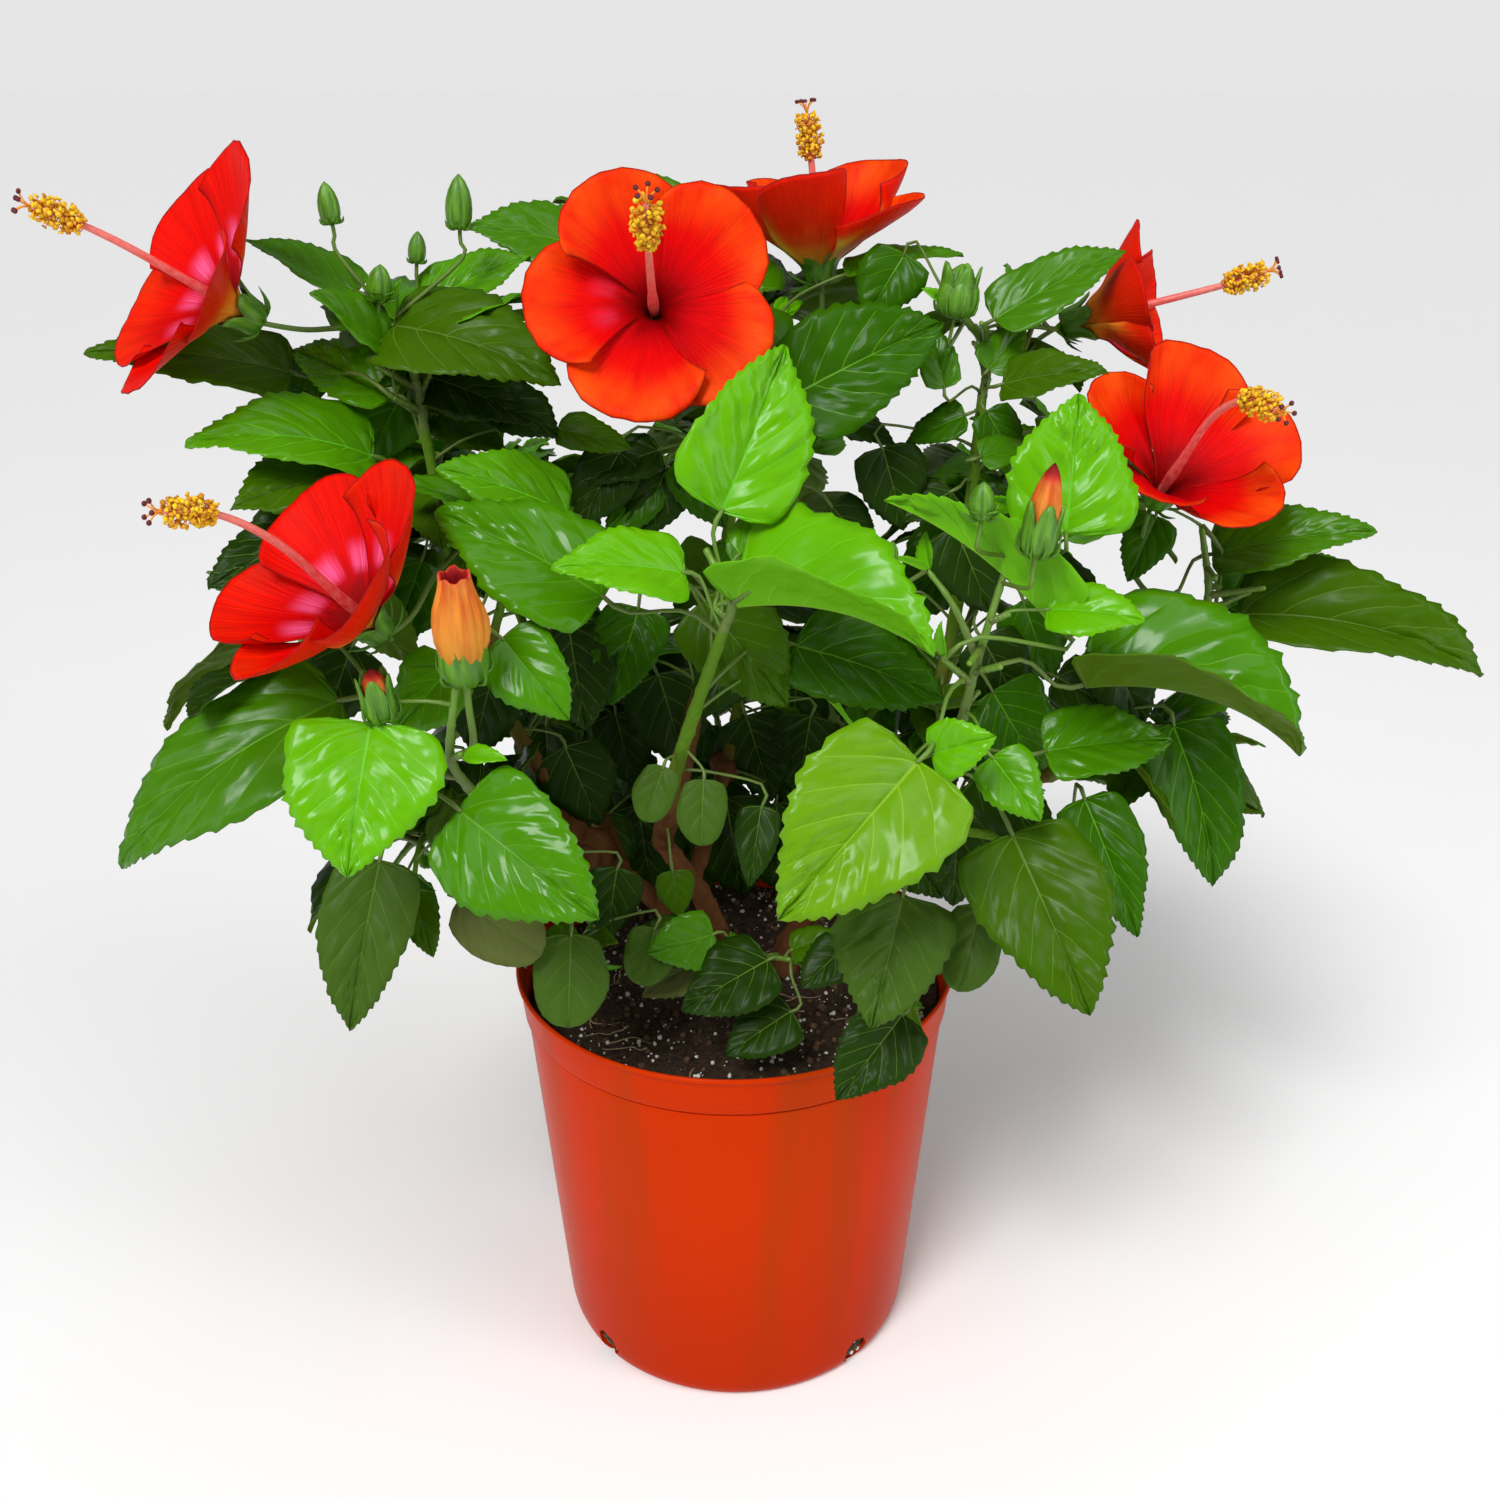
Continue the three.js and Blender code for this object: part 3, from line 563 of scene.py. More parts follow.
def add_leaf(gathered, leaf, rng):
    """One leaf blade, a thin closed sheet with its own underside."""
    flat, puff, share, quads, vein, fans, rim = leaf_pattern(leaf.shape)
    length = leaf.length
    half_width = length * leaf.width
    reach = np.abs(share)
    x = flat[:, 0] * half_width
    y = flat[:, 1]
    x *= 1 + 0.05 * np.sin(y * 7 + rng.uniform(0, 6)) * np.sign(share)
    ragged = np.array([noise.noise(Vector((b * 26.0, math.copysign(4.0, a), length)))
                       for a, b in zip(share, y)])
    x *= 1 + 0.05 * ragged * reach ** 8 * (leaf.shape != "round")
    fold = leaf.fold * DEG
    size = half_width / 30
    seed = rng.uniform(0, 50)
    rumple = np.array([noise.noise(Vector((a * 5.0, b * 10.0, seed))) for a, b in zip(share, y)])
    crinkle = np.array([noise.noise(Vector((a * 11.0, b * 24.0, seed + 7))) for a, b in zip(share, y)])
    lift = np.abs(x) * sin(fold) - leaf.curl * x ** 2 / half_width
    lift += puff * leaf.puff * size * (0.95 + 1.1 * rumple + 1.7 * crinkle)
    lift += reach ** 3 * leaf.wave * size * np.sin(y * 13 + rng.uniform(0, 6) + 1.7 * np.sign(share))
    lift -= 0.6 * size * np.exp(-(share / 0.05) ** 2)
    lift += size * (2.2 * rumple + 0.6 * crinkle) * np.clip(reach * 3, 0, 1)
    x *= cos(fold * 0.8)
    twist = leaf.twist * DEG * (y - 0.4)
    x, lift = x * np.cos(twist) - lift * np.sin(twist), x * np.sin(twist) + lift * np.cos(twist)
    fine = np.linspace(-0.15, 1.0, 60)
    bend = -leaf.droop * DEG * np.clip(fine, 0, 1) ** 1.25
    step = np.gradient(fine)
    run = np.cumsum(np.cos(bend) * step)
    rise = np.cumsum(np.sin(bend) * step)
    run, rise = run - np.interp(0, fine, run), rise - np.interp(0, fine, rise)
    chord = np.array((run[-1], rise[-1]))
    chord_length = norm(chord)
    lean = np.interp(y, fine, bend)
    along = np.interp(y, fine, run) * length / chord_length - np.sin(lean) * lift
    above = np.interp(y, fine, rise) * length / chord_length + np.cos(lean) * lift
    direction = unit(leaf.tip - leaf.base)
    normal = squared_up(leaf.face, direction)
    right = np.cross(direction, normal)
    ahead = (chord[0] * direction - chord[1] * normal) / chord_length
    over = (chord[1] * direction + chord[0] * normal) / chord_length
    top = leaf.base + x[:, None] * right + along[:, None] * ahead + above[:, None] * over
    local_over = -np.sin(lean)[:, None] * ahead + np.cos(lean)[:, None] * over
    bottom = top - local_over * (0.42 + 0.5 * np.exp(-(share / 0.06) ** 2))[:, None] * max(size, 0.5)
    count = len(flat)
    tint = LEAF_SLOTS.index(leaf.tint)
    kind = "bright" if leaf.tint in PALE_TINTS else "dull" if leaf.tint in DULL_TINTS else "mid"
    vein_slot = LEAF_SLOTS.index("vein_yellow" if leaf.tint == "yellow" else "vein_" + kind)
    under_slot = LEAF_SLOTS.index("under_fresh" if kind == "bright" else "under_dull")
    after = np.roll(rim, -1)
    rim_quads = np.stack((rim, after, after + count, rim + count), -1)
    all_quads = np.vstack((quads, quads[:, (0, 3, 2, 1)] + count, rim_quads[:, ::-1]))
    under = np.where(vein, LEAF_SLOTS.index("under_vein" if kind == "bright" else "vein_dull"), under_slot)
    slots = {4: np.concatenate((np.where(vein, vein_slot, tint), under, np.full(len(rim), under_slot))),
             3: np.concatenate((np.full(len(fans), tint), np.full(len(fans), under_slot)))}
    gathered.add(np.vstack((top, bottom)), all_quads, np.vstack((fans, fans[:, ::-1] + count)), slots)
    return ahead


# ---------- how the shrub grows ----------


def limb_line(node, rings=5):
    """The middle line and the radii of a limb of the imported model, from its foot to its tip."""
    corners = np.array([vertex.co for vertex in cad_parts[node].data.vertices]) / MM
    corners = np.unique(np.round(corners, 3), axis=0)
    middle = corners.mean(0)
    far = corners[np.argmax(norm(corners - middle, axis=1))]
    end = corners[np.argmax(norm(corners - far, axis=1))]
    places = (corners - far) @ unit(end - far)
    order = np.argsort(places)
    splits = np.sort(np.argsort(np.diff(places[order]))[-(rings - 1):]) + 1
    groups = np.split(order, splits)
    line = np.array([corners[group].mean(0) for group in groups])
    radii = np.array([norm(corners[group] - corners[group].mean(0), axis=1).max() for group in groups])
    if radii[0] < radii[-1]:
        line, radii = line[::-1], radii[::-1]
    return line, radii


def mass_box(name):
    low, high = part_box(name)
    return np.array(low) / MM, np.array(high) / MM


MASSES = sorted(name.removeprefix("leaves_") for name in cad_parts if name.startswith("leaves_"))
STEMS = sorted(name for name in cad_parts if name.startswith("stem_"))
BOUGHS = sorted(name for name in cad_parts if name.startswith("bough_"))
CROWN_LOW, CROWN_HIGH = np.array(CAD_BOX[0]) / MM, np.array(CAD_BOX[1]) / MM
POT_HIGH = mass_box("pot")[1][2]
POT_RADIUS = mass_box("pot")[1][0]
EYE = np.array((8.4, -770.3, 702.0))  # where the crown is looked at from
CAMERA_LENS, CAMERA_TILT = 37.4, 23.84  # in millimetres, and in degrees down from level


class Sightlines:
    """Keeps leaves off the openings, the blooms and the leading leaves, as seen from the front."""

    def __init__(self):
        self.middles = []
        self.radii = []
        self.depths = []

    def keep(self, middle, radius, everywhere=False):
        middle = np.asarray(middle, float)
        self.middles.append(unit(middle - EYE))
        distance = norm(middle - EYE)
        self.radii.append(math.asin(radius / distance))
        self.depths.append(1e9 if everywhere else distance)

    def hidden_by(self, points):
        """Whether any of the points would hide a kept place, or would lie inside a bloom."""
        for mouth, radius, _, column, _, facing, *_ in BLOOMS.values():
            axis = facing_direction(facing)
            ahead = (points - mouth) @ axis
            away = norm(points - mouth - ahead[:, None] * axis, axis=1)
            room = np.interp(ahead, (-28, -16, 0, 18, 32),
                             (7, 0.75 * radius, 1.15 * radius, 1.1 * radius, 9))
            if np.any((ahead > -28) & (ahead < column) & (away < room)):
                return True
        rays = points - EYE
        distance = norm(rays, axis=1)
        rays /= distance[:, None]
        angles = np.arccos(np.clip(rays @ np.array(self.middles).T, -1, 1))
        nearer = distance[:, None] < np.array(self.depths)[None]
        return np.any((angles < np.array(self.radii)[None]) & nearer)


SPRAYS = {  # the tints dealt to the leaves of a shoot, from its tip down
    "young": ("bright", "fresh", "mid", "glossy", "mid", "deep"),
    "sunny": ("fresh", "mid", "glossy", "mid", "olive", "deep"),
    # the shade tint is painted shade: a near-black green for the inner and low leaves
    "inner": ("mid", "deep", "olive", "painted_shade", "deep", "painted_shade"),
    "low": ("olive", "grey", "painted_shade", "drab", "grey", "painted_shade"),
}
FEWEST, MOST = 2, 6  # side twigs of one mass
BEHIND_LEAVES = 110  # places tried for leaves behind the stems
# Spots on a blade, as shares of its length and of its half width, that must lie clear.
BLADE_SPOTS = ((0, 0), (0.3, 0.8), (0.3, -0.8), (0.3, 0), (0.6, 0), (0.62, 0.6), (0.62, -0.6), (1, 0))


class Growth:
    """The shrub's shoots, leaf stalks and leaves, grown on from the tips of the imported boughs."""

    def __init__(self, seed, leaf_length, twig_share):
        self.rng = np.random.default_rng(seed)
        self.leaf_length = leaf_length
        self.shoots = []
        self.leaves = []
        self.sight = Sightlines()
        self.keep_clear()
        for rows in LEADING_LEAVES.values():
            for base, tip, _, _, width, *_ in rows:
                self.keep_in_sight(np.array(base, float), np.array(tip, float), width)
        self.twigs = {mass: self.grow_shoots(mass, twig_share) for mass in MASSES}
        limbs = [smooth_path(limb_line(name)[0], 30) for name in (*STEMS, *BOUGHS)]
        self.limb_spots = np.vstack(limbs)
        for mass, rows in LEADING_LEAVES.items():
            for row in rows:
                self.place_leading(mass, *row)
        for mass in MASSES:
            self.fill_mass(mass)
            self.fill_inside(mass)
        self.fill_behind()

    def keep_clear(self):
        for x, z, radius in OPENINGS:
            self.sight.keep((x, 0, z), radius, everywhere=True)
        for mouth, radius, _, column, _, facing, *_ in BLOOMS.values():
            self.sight.keep(mouth, radius * 0.9)
            for step in (0.5, 0.95):
                self.sight.keep(np.array(mouth) + facing_direction(facing) * column * step, 7)
        for foot, length, width, lean, _ in BUDS:
            middle = np.array(foot) + unit(np.array((*lean, 1.0))) * length * 0.5
            self.sight.keep(middle, max(length, width) * 0.55)
        foot, length, width = SPENT_BLOOM
        for step in (0.3, 0.8):
            self.sight.keep(np.array(foot) + UP * length * step, width * 0.6)

    def grow_shoots(self, mass, twig_share):
        """The leading shoot of a mass, on from its bough's tip, and the side twigs on that."""
        line, radii = limb_line("bough_" + mass)
        low, high = mass_box("leaves_" + mass)
        middle, half = (low + high) / 2, (high - low) / 2
        tip = np.array(LEADERS.get(mass, middle + half * (0, 0, 0.3)), float)
        foot, heading = line[-1], unit(line[-1] - line[-2])
        span = norm(tip - foot)
        path = smooth_path((foot - heading * 4, foot, foot + heading * span * 0.3
                            + UP * span * 0.12, tip), 16)
        self.shoots.append(SimpleNamespace(path=path, radii=np.linspace(radii[-1], 1.5, 16), wood=0.05))
        shoots = [path]
        roomy = np.prod(half) / (70 * 65 * 45)
        count = int(np.clip(round(twig_share * roomy), FEWEST, MOST))
        phase = self.rng.uniform(0, TURN)
        for index in range(count):
            turn = phase + index * GOLDEN_TURN
            share = 0.25 + 0.5 * index / count
            start = path[int(share * 15)]
            lift = (-0.15, 0.35, 0.1, 0.5)[index % 4]
            end = middle + half * (cos(turn) * 0.55, sin(turn) * 0.55, lift)
            span = norm(end - start)
            bow = (start + end) / 2 + UP * span * 0.10
            twig = smooth_path((start, bow, end), 10)
            if self.sight.hidden_by(twig[3:]):
                twig = smooth_path((start, start + (bow - start) * 0.6), 10)
            shoots.append(twig)
            self.shoots.append(SimpleNamespace(path=twig, radii=np.linspace(2.0, 1.2, 10), wood=0.2))
        return shoots

    def add_blade(self, mass, base, tip, tint, face, **more):
        length = norm(tip - base)
        rng = self.rng
        leaf = SimpleNamespace(mass=mass, base=base, tip=tip, tint=tint, face=np.asarray(face, float),
                               length=length, width=0.33, fold=12, droop=26, curl=0.16,
                               puff=rng.uniform(0.8, 1.25), wave=rng.uniform(0.9, 1.8),
                               twist=rng.uniform(-12, 12), shape="common")
        vars(leaf).update(more)
        self.leaves.append(leaf)
        return leaf

    def place_leading(self, mass, base, tip, tint, way, width, fold=10, droop=20):
        base, tip = np.array(base, float), np.array(tip, float)
        small = norm(tip - base) < 50
        shape = "round" if tint in ("grey", "drab") and small else "common" if small else "large"
        leaf = self.add_blade(mass, base, tip, tint, WAYS[way], width=width, fold=fold, droop=droop,
                              curl=0.10, shape=shape)
        span = 0.55 * leaf.length
        hangs = tip[2] < base[2] - 12
        spots = np.vstack((*self.twigs[mass], self.limb_spots))
        gap = norm(spots - base, axis=1)
        above = 0.0 if hangs else 1.5
        cost = np.abs(gap - span) + above * np.clip(spots[:, 2] - base[2] + 6, 0, None)
        cost += 0.5 * np.clip(base[2] - 10 - spots[:, 2], 0, None) * hangs
        leaf.node = spots[np.argmin(cost)]

    def keep_in_sight(self, base, tip, width):
        half = norm(tip - base) * width
        for step, share in ((0.25, 0.8), (0.5, 0.8), (0.78, 0.45)):
            self.sight.keep(base + (tip - base) * step, half * share)

    def fill_mass(self, mass):
        """Deals leaves round every shoot of a mass, turn by turn, from its tip down."""
        low, high = mass_box("leaves_" + mass)
        margin = 8
        for number, path in enumerate(self.twigs[mass]):
            height = (path[-1][2] - 260) / 330
            front = path[-1][1] < 30
            kind = "low" if height < 0.28 else "inner" if height < 0.5 else "sunny"
            if kind == "sunny" and self.rng.random() < 0.35 and front:
                kind = "young"
            tints = SPRAYS[kind]
            ranks = len(tints) if number else len(tints) - 1
            length = distances_along(path[::-1])
            turn = self.rng.uniform(0, TURN)
            self.add_tip_leaves(mass, path, kind)
            for rank in range(ranks):
                turn += GOLDEN_TURN
                depth = min(4 + rank * length[-1] / ranks * 0.9, length[-1])
                node = np.array([np.interp(depth, length, path[::-1, axis]) for axis in range(3)])
                self.try_leaf(mass, node, turn, rank / (ranks - 1), tints[rank],
                              low - margin, high + margin)

    def fill_inside(self, mass):
        """Dark leaves on short stalks along the bough itself, in the shrub's middle; a third take the
        near-black tint of painted shade.
        """
        line, _ = limb_line("bough_" + mass)
        length = norm(line[-1] - line[0])
        count = int(length / 24)
        path = smooth_path(line, 20)
        turn = self.rng.uniform(0, TURN)
        low, high = CROWN_LOW + 30, CROWN_HIGH - 30
        for index in range(count):
            turn += GOLDEN_TURN
            node = path[int(np.interp(index, (0, count), (5, 19)))]
            tint = ("painted_shade", "deep", "olive", "painted_shade", "grey", "deep")[index % 6]
            self.try_leaf(mass, node, turn, 0.75, tint, low, high, pull=0.15, share=0.72)

    def fill_behind(self):
        """Dark leaves low down behind the stems, over the pot's far rim; half take the near-black tint of
        painted shade.
        """
        rng = self.rng
        for index in range(BEHIND_LEAVES):
            base = np.array((-110 + 220 * (index * 0.618 % 1), rng.uniform(14, 104),
                             rng.uniform(284, 410)))
            tip = base + (rng.uniform(-30, 30), rng.uniform(-22, 8), rng.uniform(-56, -28))
            flank = np.array((0.25, 0.0, 0.0)) * norm(tip - base)
            middle = (base + tip) / 2
            spots = np.array((base, tip, middle, middle + flank, middle - flank))
            if tip[2] < POT_HIGH + 8 or self.sight.hidden_by(spots):
                continue
            leaf = self.add_blade("low_back", base, tip, ("painted_shade", "deep", "painted_shade", "olive")[index % 4],
                                  (rng.uniform(-0.4, 0.4), -0.9, 0.5), width=rng.uniform(0.34, 0.44))
            gap = norm(self.limb_spots - base, axis=1)
            leaf.node = self.limb_spots[np.argmin(gap)]

    def add_tip_leaves(self, mass, path, kind):
        heading = unit(path[-1] - path[-3])
        for index in range(2):
            turn = self.rng.uniform(0, TURN)
            side = squared_up(np.array((cos(turn), sin(turn), 0.0)), heading)
            base = path[-1] + side * 1.5
            tip = base + unit(heading * 1.2 + side) * self.rng.uniform(13, 24)
            if self.sight.hidden_by(np.array((base, (base + tip) / 2, tip))):
                continue
            leaf = self.add_blade(mass, base, tip, "bright" if kind != "low" else "mid", -side + UP * 0.3,
                                  width=0.26, fold=32, droop=20, wave=0.4, shape="tip")
            leaf.node = None

    def try_leaf(self, mass, node, turn, age, tint, low, high, pull=0.55, share=1.0):
        rng = self.rng
        outward = unit((node - CROWN_AXIS) * (1, 1, 0))
        side = np.array((cos(turn), sin(turn), 0.0))
        side = unit(side + outward * pull)
        length = self.leaf_length * np.interp(age, (0, 0.4, 1), (0.6, 0.95, 1.0)) * rng.uniform(0.84, 1.12)
        length *= share
        stalk = np.interp(age, (0, 1), (12, 40)) * rng.uniform(0.8, 1.2)
        rise = np.interp(age, (0, 1), (55, 25)) * DEG
        fall = (np.interp(age, (0, 0.5, 1), (28, -6, -38)) + rng.uniform(-14, 10)) * DEG
        base = node + stalk * (side * cos(rise) + UP * sin(rise))
        for shrink in (1.0, 0.85, 0.7, 0.58):
            reach = length * shrink
            near = base if shrink > 0.8 else node + (base - node) * 0.6
            tip = near + reach * (side * cos(fall) + UP * sin(fall))
            if np.all(tip > low) and np.all(tip < high) and np.all(near > low) and np.all(near < high):
                break
        else:
            return
        half = 0.36 * reach
        flank = np.cross(unit(tip - near), UP)
        spots = np.array([near + (tip - near) * along + flank * half * aside
                          for along, aside in BLADE_SPOTS])
        flat_reach = norm(spots[:, :2], axis=1)
        if np.any((spots[:, 2] < POT_HIGH + 4) & (flat_reach < POT_RADIUS + 12)):
            return
        if self.sight.hidden_by(spots):
            return
        leaf = self.add_blade(mass, near, tip, tint, UP + outward * 0.45 + rng.normal(0, 0.22, 3),
                              width=rng.uniform(0.32, 0.41), fold=rng.uniform(6, 24),
                              droop=rng.uniform(16, 46), curl=rng.uniform(0.08, 0.22))
        leaf.node = node


@functools.lru_cache
def growth():
    leaves = bpy.context.scene.hibiscus_leaves
    return Growth(leaves.seed, leaves.length / MM, leaves.twigs)


# ---------- blooms ----------


class BloomFrame:
    """Turns places round a bloom's axis into places in the plant's frame."""

    def __init__(self, mouth, facing):
        self.mouth = np.array(mouth, float)
        self.axis = facing_direction(facing)
        self.up = squared_up(UP, self.axis)
        self.right = np.cross(self.up, self.axis)

    def spot(self, right, up, ahead):
        right, up, ahead = np.broadcast_arrays(right, up, ahead)
        return (self.mouth + right[..., None] * self.right + up[..., None] * self.up
                + ahead[..., None] * self.axis)


PETAL_ROWS, PETAL_COLUMNS = 24, 19


def petal_profile(radius, funnel):
    """Radius and height of a petal's middle line, from its foot in the calyx out to its edge."""
    open_line = np.array(((2.2, -33), (5.0, -24), (9.5, -17), (0.32 * radius, -11.5),
                          (0.56 * radius, -6.5), (0.80 * radius, -2.2), (0.94 * radius, -0.6),
                          (radius, -1.8)))
    deep_line = np.array(((2.2, -36), (5.2, -31), (11.5, -25.5), (0.36 * radius, -18.5),
                          (0.57 * radius, -9), (0.76 * radius, 2.5), (0.88 * radius, 12),
                          (0.94 * radius, 18)))
    line = open_line + (deep_line - open_line) * funnel
    line = smooth_path([(out, height, 0) for out, height in line], PETAL_ROWS)
    return line[:, 0], line[:, 1]


def add_petal(gathered, place, radius, funnel, turn, lift, tone, rng):
    out, height = petal_profile(radius, funnel)
    s = np.linspace(0, 1, PETAL_ROWS)[:, None]
    v = np.linspace(-1, 1, PETAL_COLUMNS)[None]
    open_share = np.clip((out[:, None] / radius - 0.12) / 0.88, 0, 1)
    half_turn = (36 + (10 - 6 * max(funnel - 0.6, 0)) * open_share ** 0.8) * DEG
    corner = (0.27 + 0.16 * funnel) * np.abs(v) ** (2.7 - 0.5 * funnel)
    shrink = 1 - (corner + 0.012 * np.cos(v * 17 + rng.uniform(0, 6)) ** 2) * open_share ** 1.3
    phase, second = rng.uniform(0, 6, 2)
    away = out[:, None] * shrink
    ahead = height[:, None] + v * 3.3 * np.sin(open_share * pi * 0.62) * radius / 56
    ahead -= (0.045 + 0.05 * funnel ** 2) * radius * open_share ** 1.5 * (v ** 2 - 0.3)
    ahead += lift * open_share ** 2.2
    ahead += radius * 0.014 * open_share ** 4 * np.sin(v * 6.5 + phase)
    ahead += radius * 0.03 * open_share ** 2 * np.sin(v * 1.8 + second)
    ahead += 0.16 * open_share * np.sin(v * 30 + phase + 2 * s) * (1 - 0.3 * np.abs(v))
    ahead -= 0.4 * np.exp(-(v / 0.10) ** 2) * open_share * (1 - open_share)
    angle = turn + v * half_turn * (1 + 0.02 * np.sin(s * 5 + second))
    angle += 0.07 * open_share * sin(phase)
    points = place.spot(np.cos(angle) * away, np.sin(angle) * away, ahead)
    down = np.gradient(points, axis=0)
    over = np.gradient(points, axis=1)
    normal = np.cross(down, over)
    normal /= np.maximum(norm(normal, axis=-1), 1e-9)[..., None]
    thick = 0.5
    count = PETAL_ROWS * PETAL_COLUMNS
    top, bottom = points.reshape(-1, 3), (points - normal * thick).reshape(-1, 3)
    quads = grid_quads(PETAL_ROWS, PETAL_COLUMNS)[:, ::-1]
    index = np.arange(count).reshape(PETAL_ROWS, PETAL_COLUMNS)
    rim = np.concatenate((index[0], index[1:, -1], index[-1, -2::-1], index[-2:0:-1, 0]))
    after = np.roll(rim, -1)
    rim_quads = np.stack((rim, after, after + count, rim + count), -1)
    faces = np.vstack((quads, quads[:, ::-1] + count, rim_quads))
    slots = np.concatenate((np.zeros(len(quads)), np.ones(len(quads) + len(rim)))).astype(int)
    places = np.stack(np.broadcast_arrays((v + 1) / 2, s), -1).reshape(-1, 2)
    gathered.add(np.vstack((top, bottom)), faces, slot={4: slots}, places=np.vstack((places, places)),
                 tone=tone)


def add_ball(gathered, place, axis, length, width, slot, sides=6, rings=5, tone=0.5):
    turn = np.linspace(0, pi, rings + 2)[1:-1]
    outline = [(sin(a) * width / 2, -cos(a) * length / 2) for a in turn]
    add_lathe(gathered, place, axis, outline, sides=sides, slot=slot, tone=tone)


ANTHERS, STIGMAS, BRACTS = 150, 5, 7


def add_column(gathered, place, column, bend, rng):
    """The pink column with its stalked anthers and five dark stigmas."""
    line = smooth_path([place.spot(0, 0, -31), place.spot(0, 0, -12), place.spot(0, 0.2, column * 0.35),
                        place.spot(0, bend * 0.35, column * 0.7), place.spot(0, bend, column - 7)], 30)
    radii = np.interp(np.linspace(0, 1, 30), (0, 0.15, 0.32, 0.7, 1), (2.2, 2.8, 2.0, 1.7, 1.1))
    add_tube(gathered, line, radii, 10, slot=2, tone=np.linspace(0, 1, 30))
    length = distances_along(line)
    along, side, other = path_frames(line)
    for index in range(ANTHERS):
        share = index / (ANTHERS - 1)
        depth = length[-1] - 1 - 21 * (1 - share) ** 0.9
        spot = int(np.clip(np.searchsorted(length, depth), 1, len(line) - 1))
        foot = np.array([np.interp(depth, length, line[:, axis]) for axis in range(3)])
        turn = index * GOLDEN_TURN + rng.uniform(-0.3, 0.3)
        radial = cos(turn) * side[spot] + sin(turn) * other[spot]
        reach = rng.uniform(2.8, 7.2) * (0.5 + 0.5 * sin((0.10 + 0.70 * share) * pi))
        tip = foot + radial * reach + along[spot] * rng.uniform(0.4, 2.2)
        middle = foot + radial * reach * 0.55 + along[spot] * 0.3
        add_tube(gathered, (foot, middle, tip), (0.28, 0.24, 0.2), 4, slot=3)
        add_ball(gathered, tip, radial + rng.normal(0, 0.9, 3), rng.uniform(1.4, 2.0),
                 rng.uniform(2.4, 3.3), slot=4, sides=5, rings=2, tone=rng.uniform(0, 1))
    for index in range(STIGMAS):
        turn = index * TURN / STIGMAS + 0.4
        radial = cos(turn) * side[-1] + sin(turn) * other[-1]
        tip = line[-1] + radial * 4.6 + along[-1] * 6.2
        bow = line[-1] + radial * 1.4 + along[-1] * 3.6
        add_tube(gathered, smooth_path((line[-1], bow, tip), 5), (0.5, 0.45, 0.4, 0.4, 0.4), 5, slot=3)
        add_ball(gathered, tip, along[-1], 2.2, 2.5, slot=5, sides=8, rings=4)


def add_calyx(gathered, foot, axis, length, radius, slot, rng, spread=0.35):
    """A lobed cup round the back of a bloom or bud, and the narrow bracts under it."""
    outline = ((0.22, 0.0), (0.72, 0.05), (0.98, 0.22), (1.0, 0.42), (0.98, 0.58), (1.0, 0.72),
               (1.02, 0.86), (0.94, 0.86), (0.90, 0.70), (0.86, 0.5), (0.3, 0.3))
    rise = np.array((0, 0, 0, 0.1, 0.3, 0.62, 1, 1, 0.6, 0.2, 0))[:, None]

    def lobed(out, height, turn):
        lobe = np.abs(np.cos(turn * 5 / 2)) ** 0.8
        height = height + rise * (lobe - 0.55) * length * 0.42
        rib = 1 + 0.05 * np.cos(turn * 10) * (1 - rise * 0.5)
        return out * rib * (1 + spread * 0.75 * rise * lobe), height

    add_lathe(gathered, foot, axis, [(out * radius, height * length) for out, height in outline],
              sides=30, slot=slot, shape=lobed)
    side = squared_up(np.array((0.2, 0.5, 1.0)), axis)
    other = np.cross(axis, side)
    for index in range(BRACTS):
        turn = index * TURN / BRACTS + rng.uniform(-0.15, 0.15)
        radial = cos(turn) * side + sin(turn) * other
        start = foot + radial * radius * 0.5 + axis * length * 0.03
        bow = foot + radial * radius * (1.14 + spread * 0.2) + axis * length * 0.16
        tip = foot + radial * radius * (1.12 + spread) + axis * length * 0.5
        add_tube(gathered, smooth_path((start, bow, tip), 6), (0.55, 0.8, 0.85, 0.7, 0.45, 0.1), 5, slot)


def add_stalk(gathered, mass_path, path, radius, slot):
    start = mass_path[np.argmin(norm(mass_path - path[0], axis=1))]
    steps = 18
    add_tube(gathered, smooth_path((start, *path), steps), np.linspace(radius * 1.15, radius, steps), 8,
             slot, tone=np.linspace(0.3, 0.9, steps))


# ---------- materials ----------


def shader_group(name, inputs, outputs, nodes, links):
    """A node group: sockets with their defaults, nodes with their values, and links in words."""
    group = bpy.data.node_groups.new(name, "ShaderNodeTree")
    for label, default in inputs.items():
        kind = "NodeSocketVector" if isinstance(default, tuple) else "NodeSocketFloat"
        group.interface.new_socket(name=label, in_out="INPUT", socket_type=kind).default_value = default
    for label in outputs:
        group.interface.new_socket(name=label, in_out="OUTPUT", socket_type="NodeSocketFloat")
    made = {"given": group.nodes.new("NodeGroupInput"), "result": group.nodes.new("NodeGroupOutput")}
    for label, (kind, values) in nodes.items():
        made[label] = group.nodes.new("ShaderNode" + kind)
        for key, value in values.items():
            if key in made[label].inputs:
                made[label].inputs[key].default_value = value
            else:
                setattr(made[label], key, value)
    for link in links:
        (source, out), (target, into) = (end.split(".") for end in link.split(" > "))
        into = int(into) if into.isdigit() else into
        group.links.new(made[source].outputs[out], made[target].inputs[into])
    return group


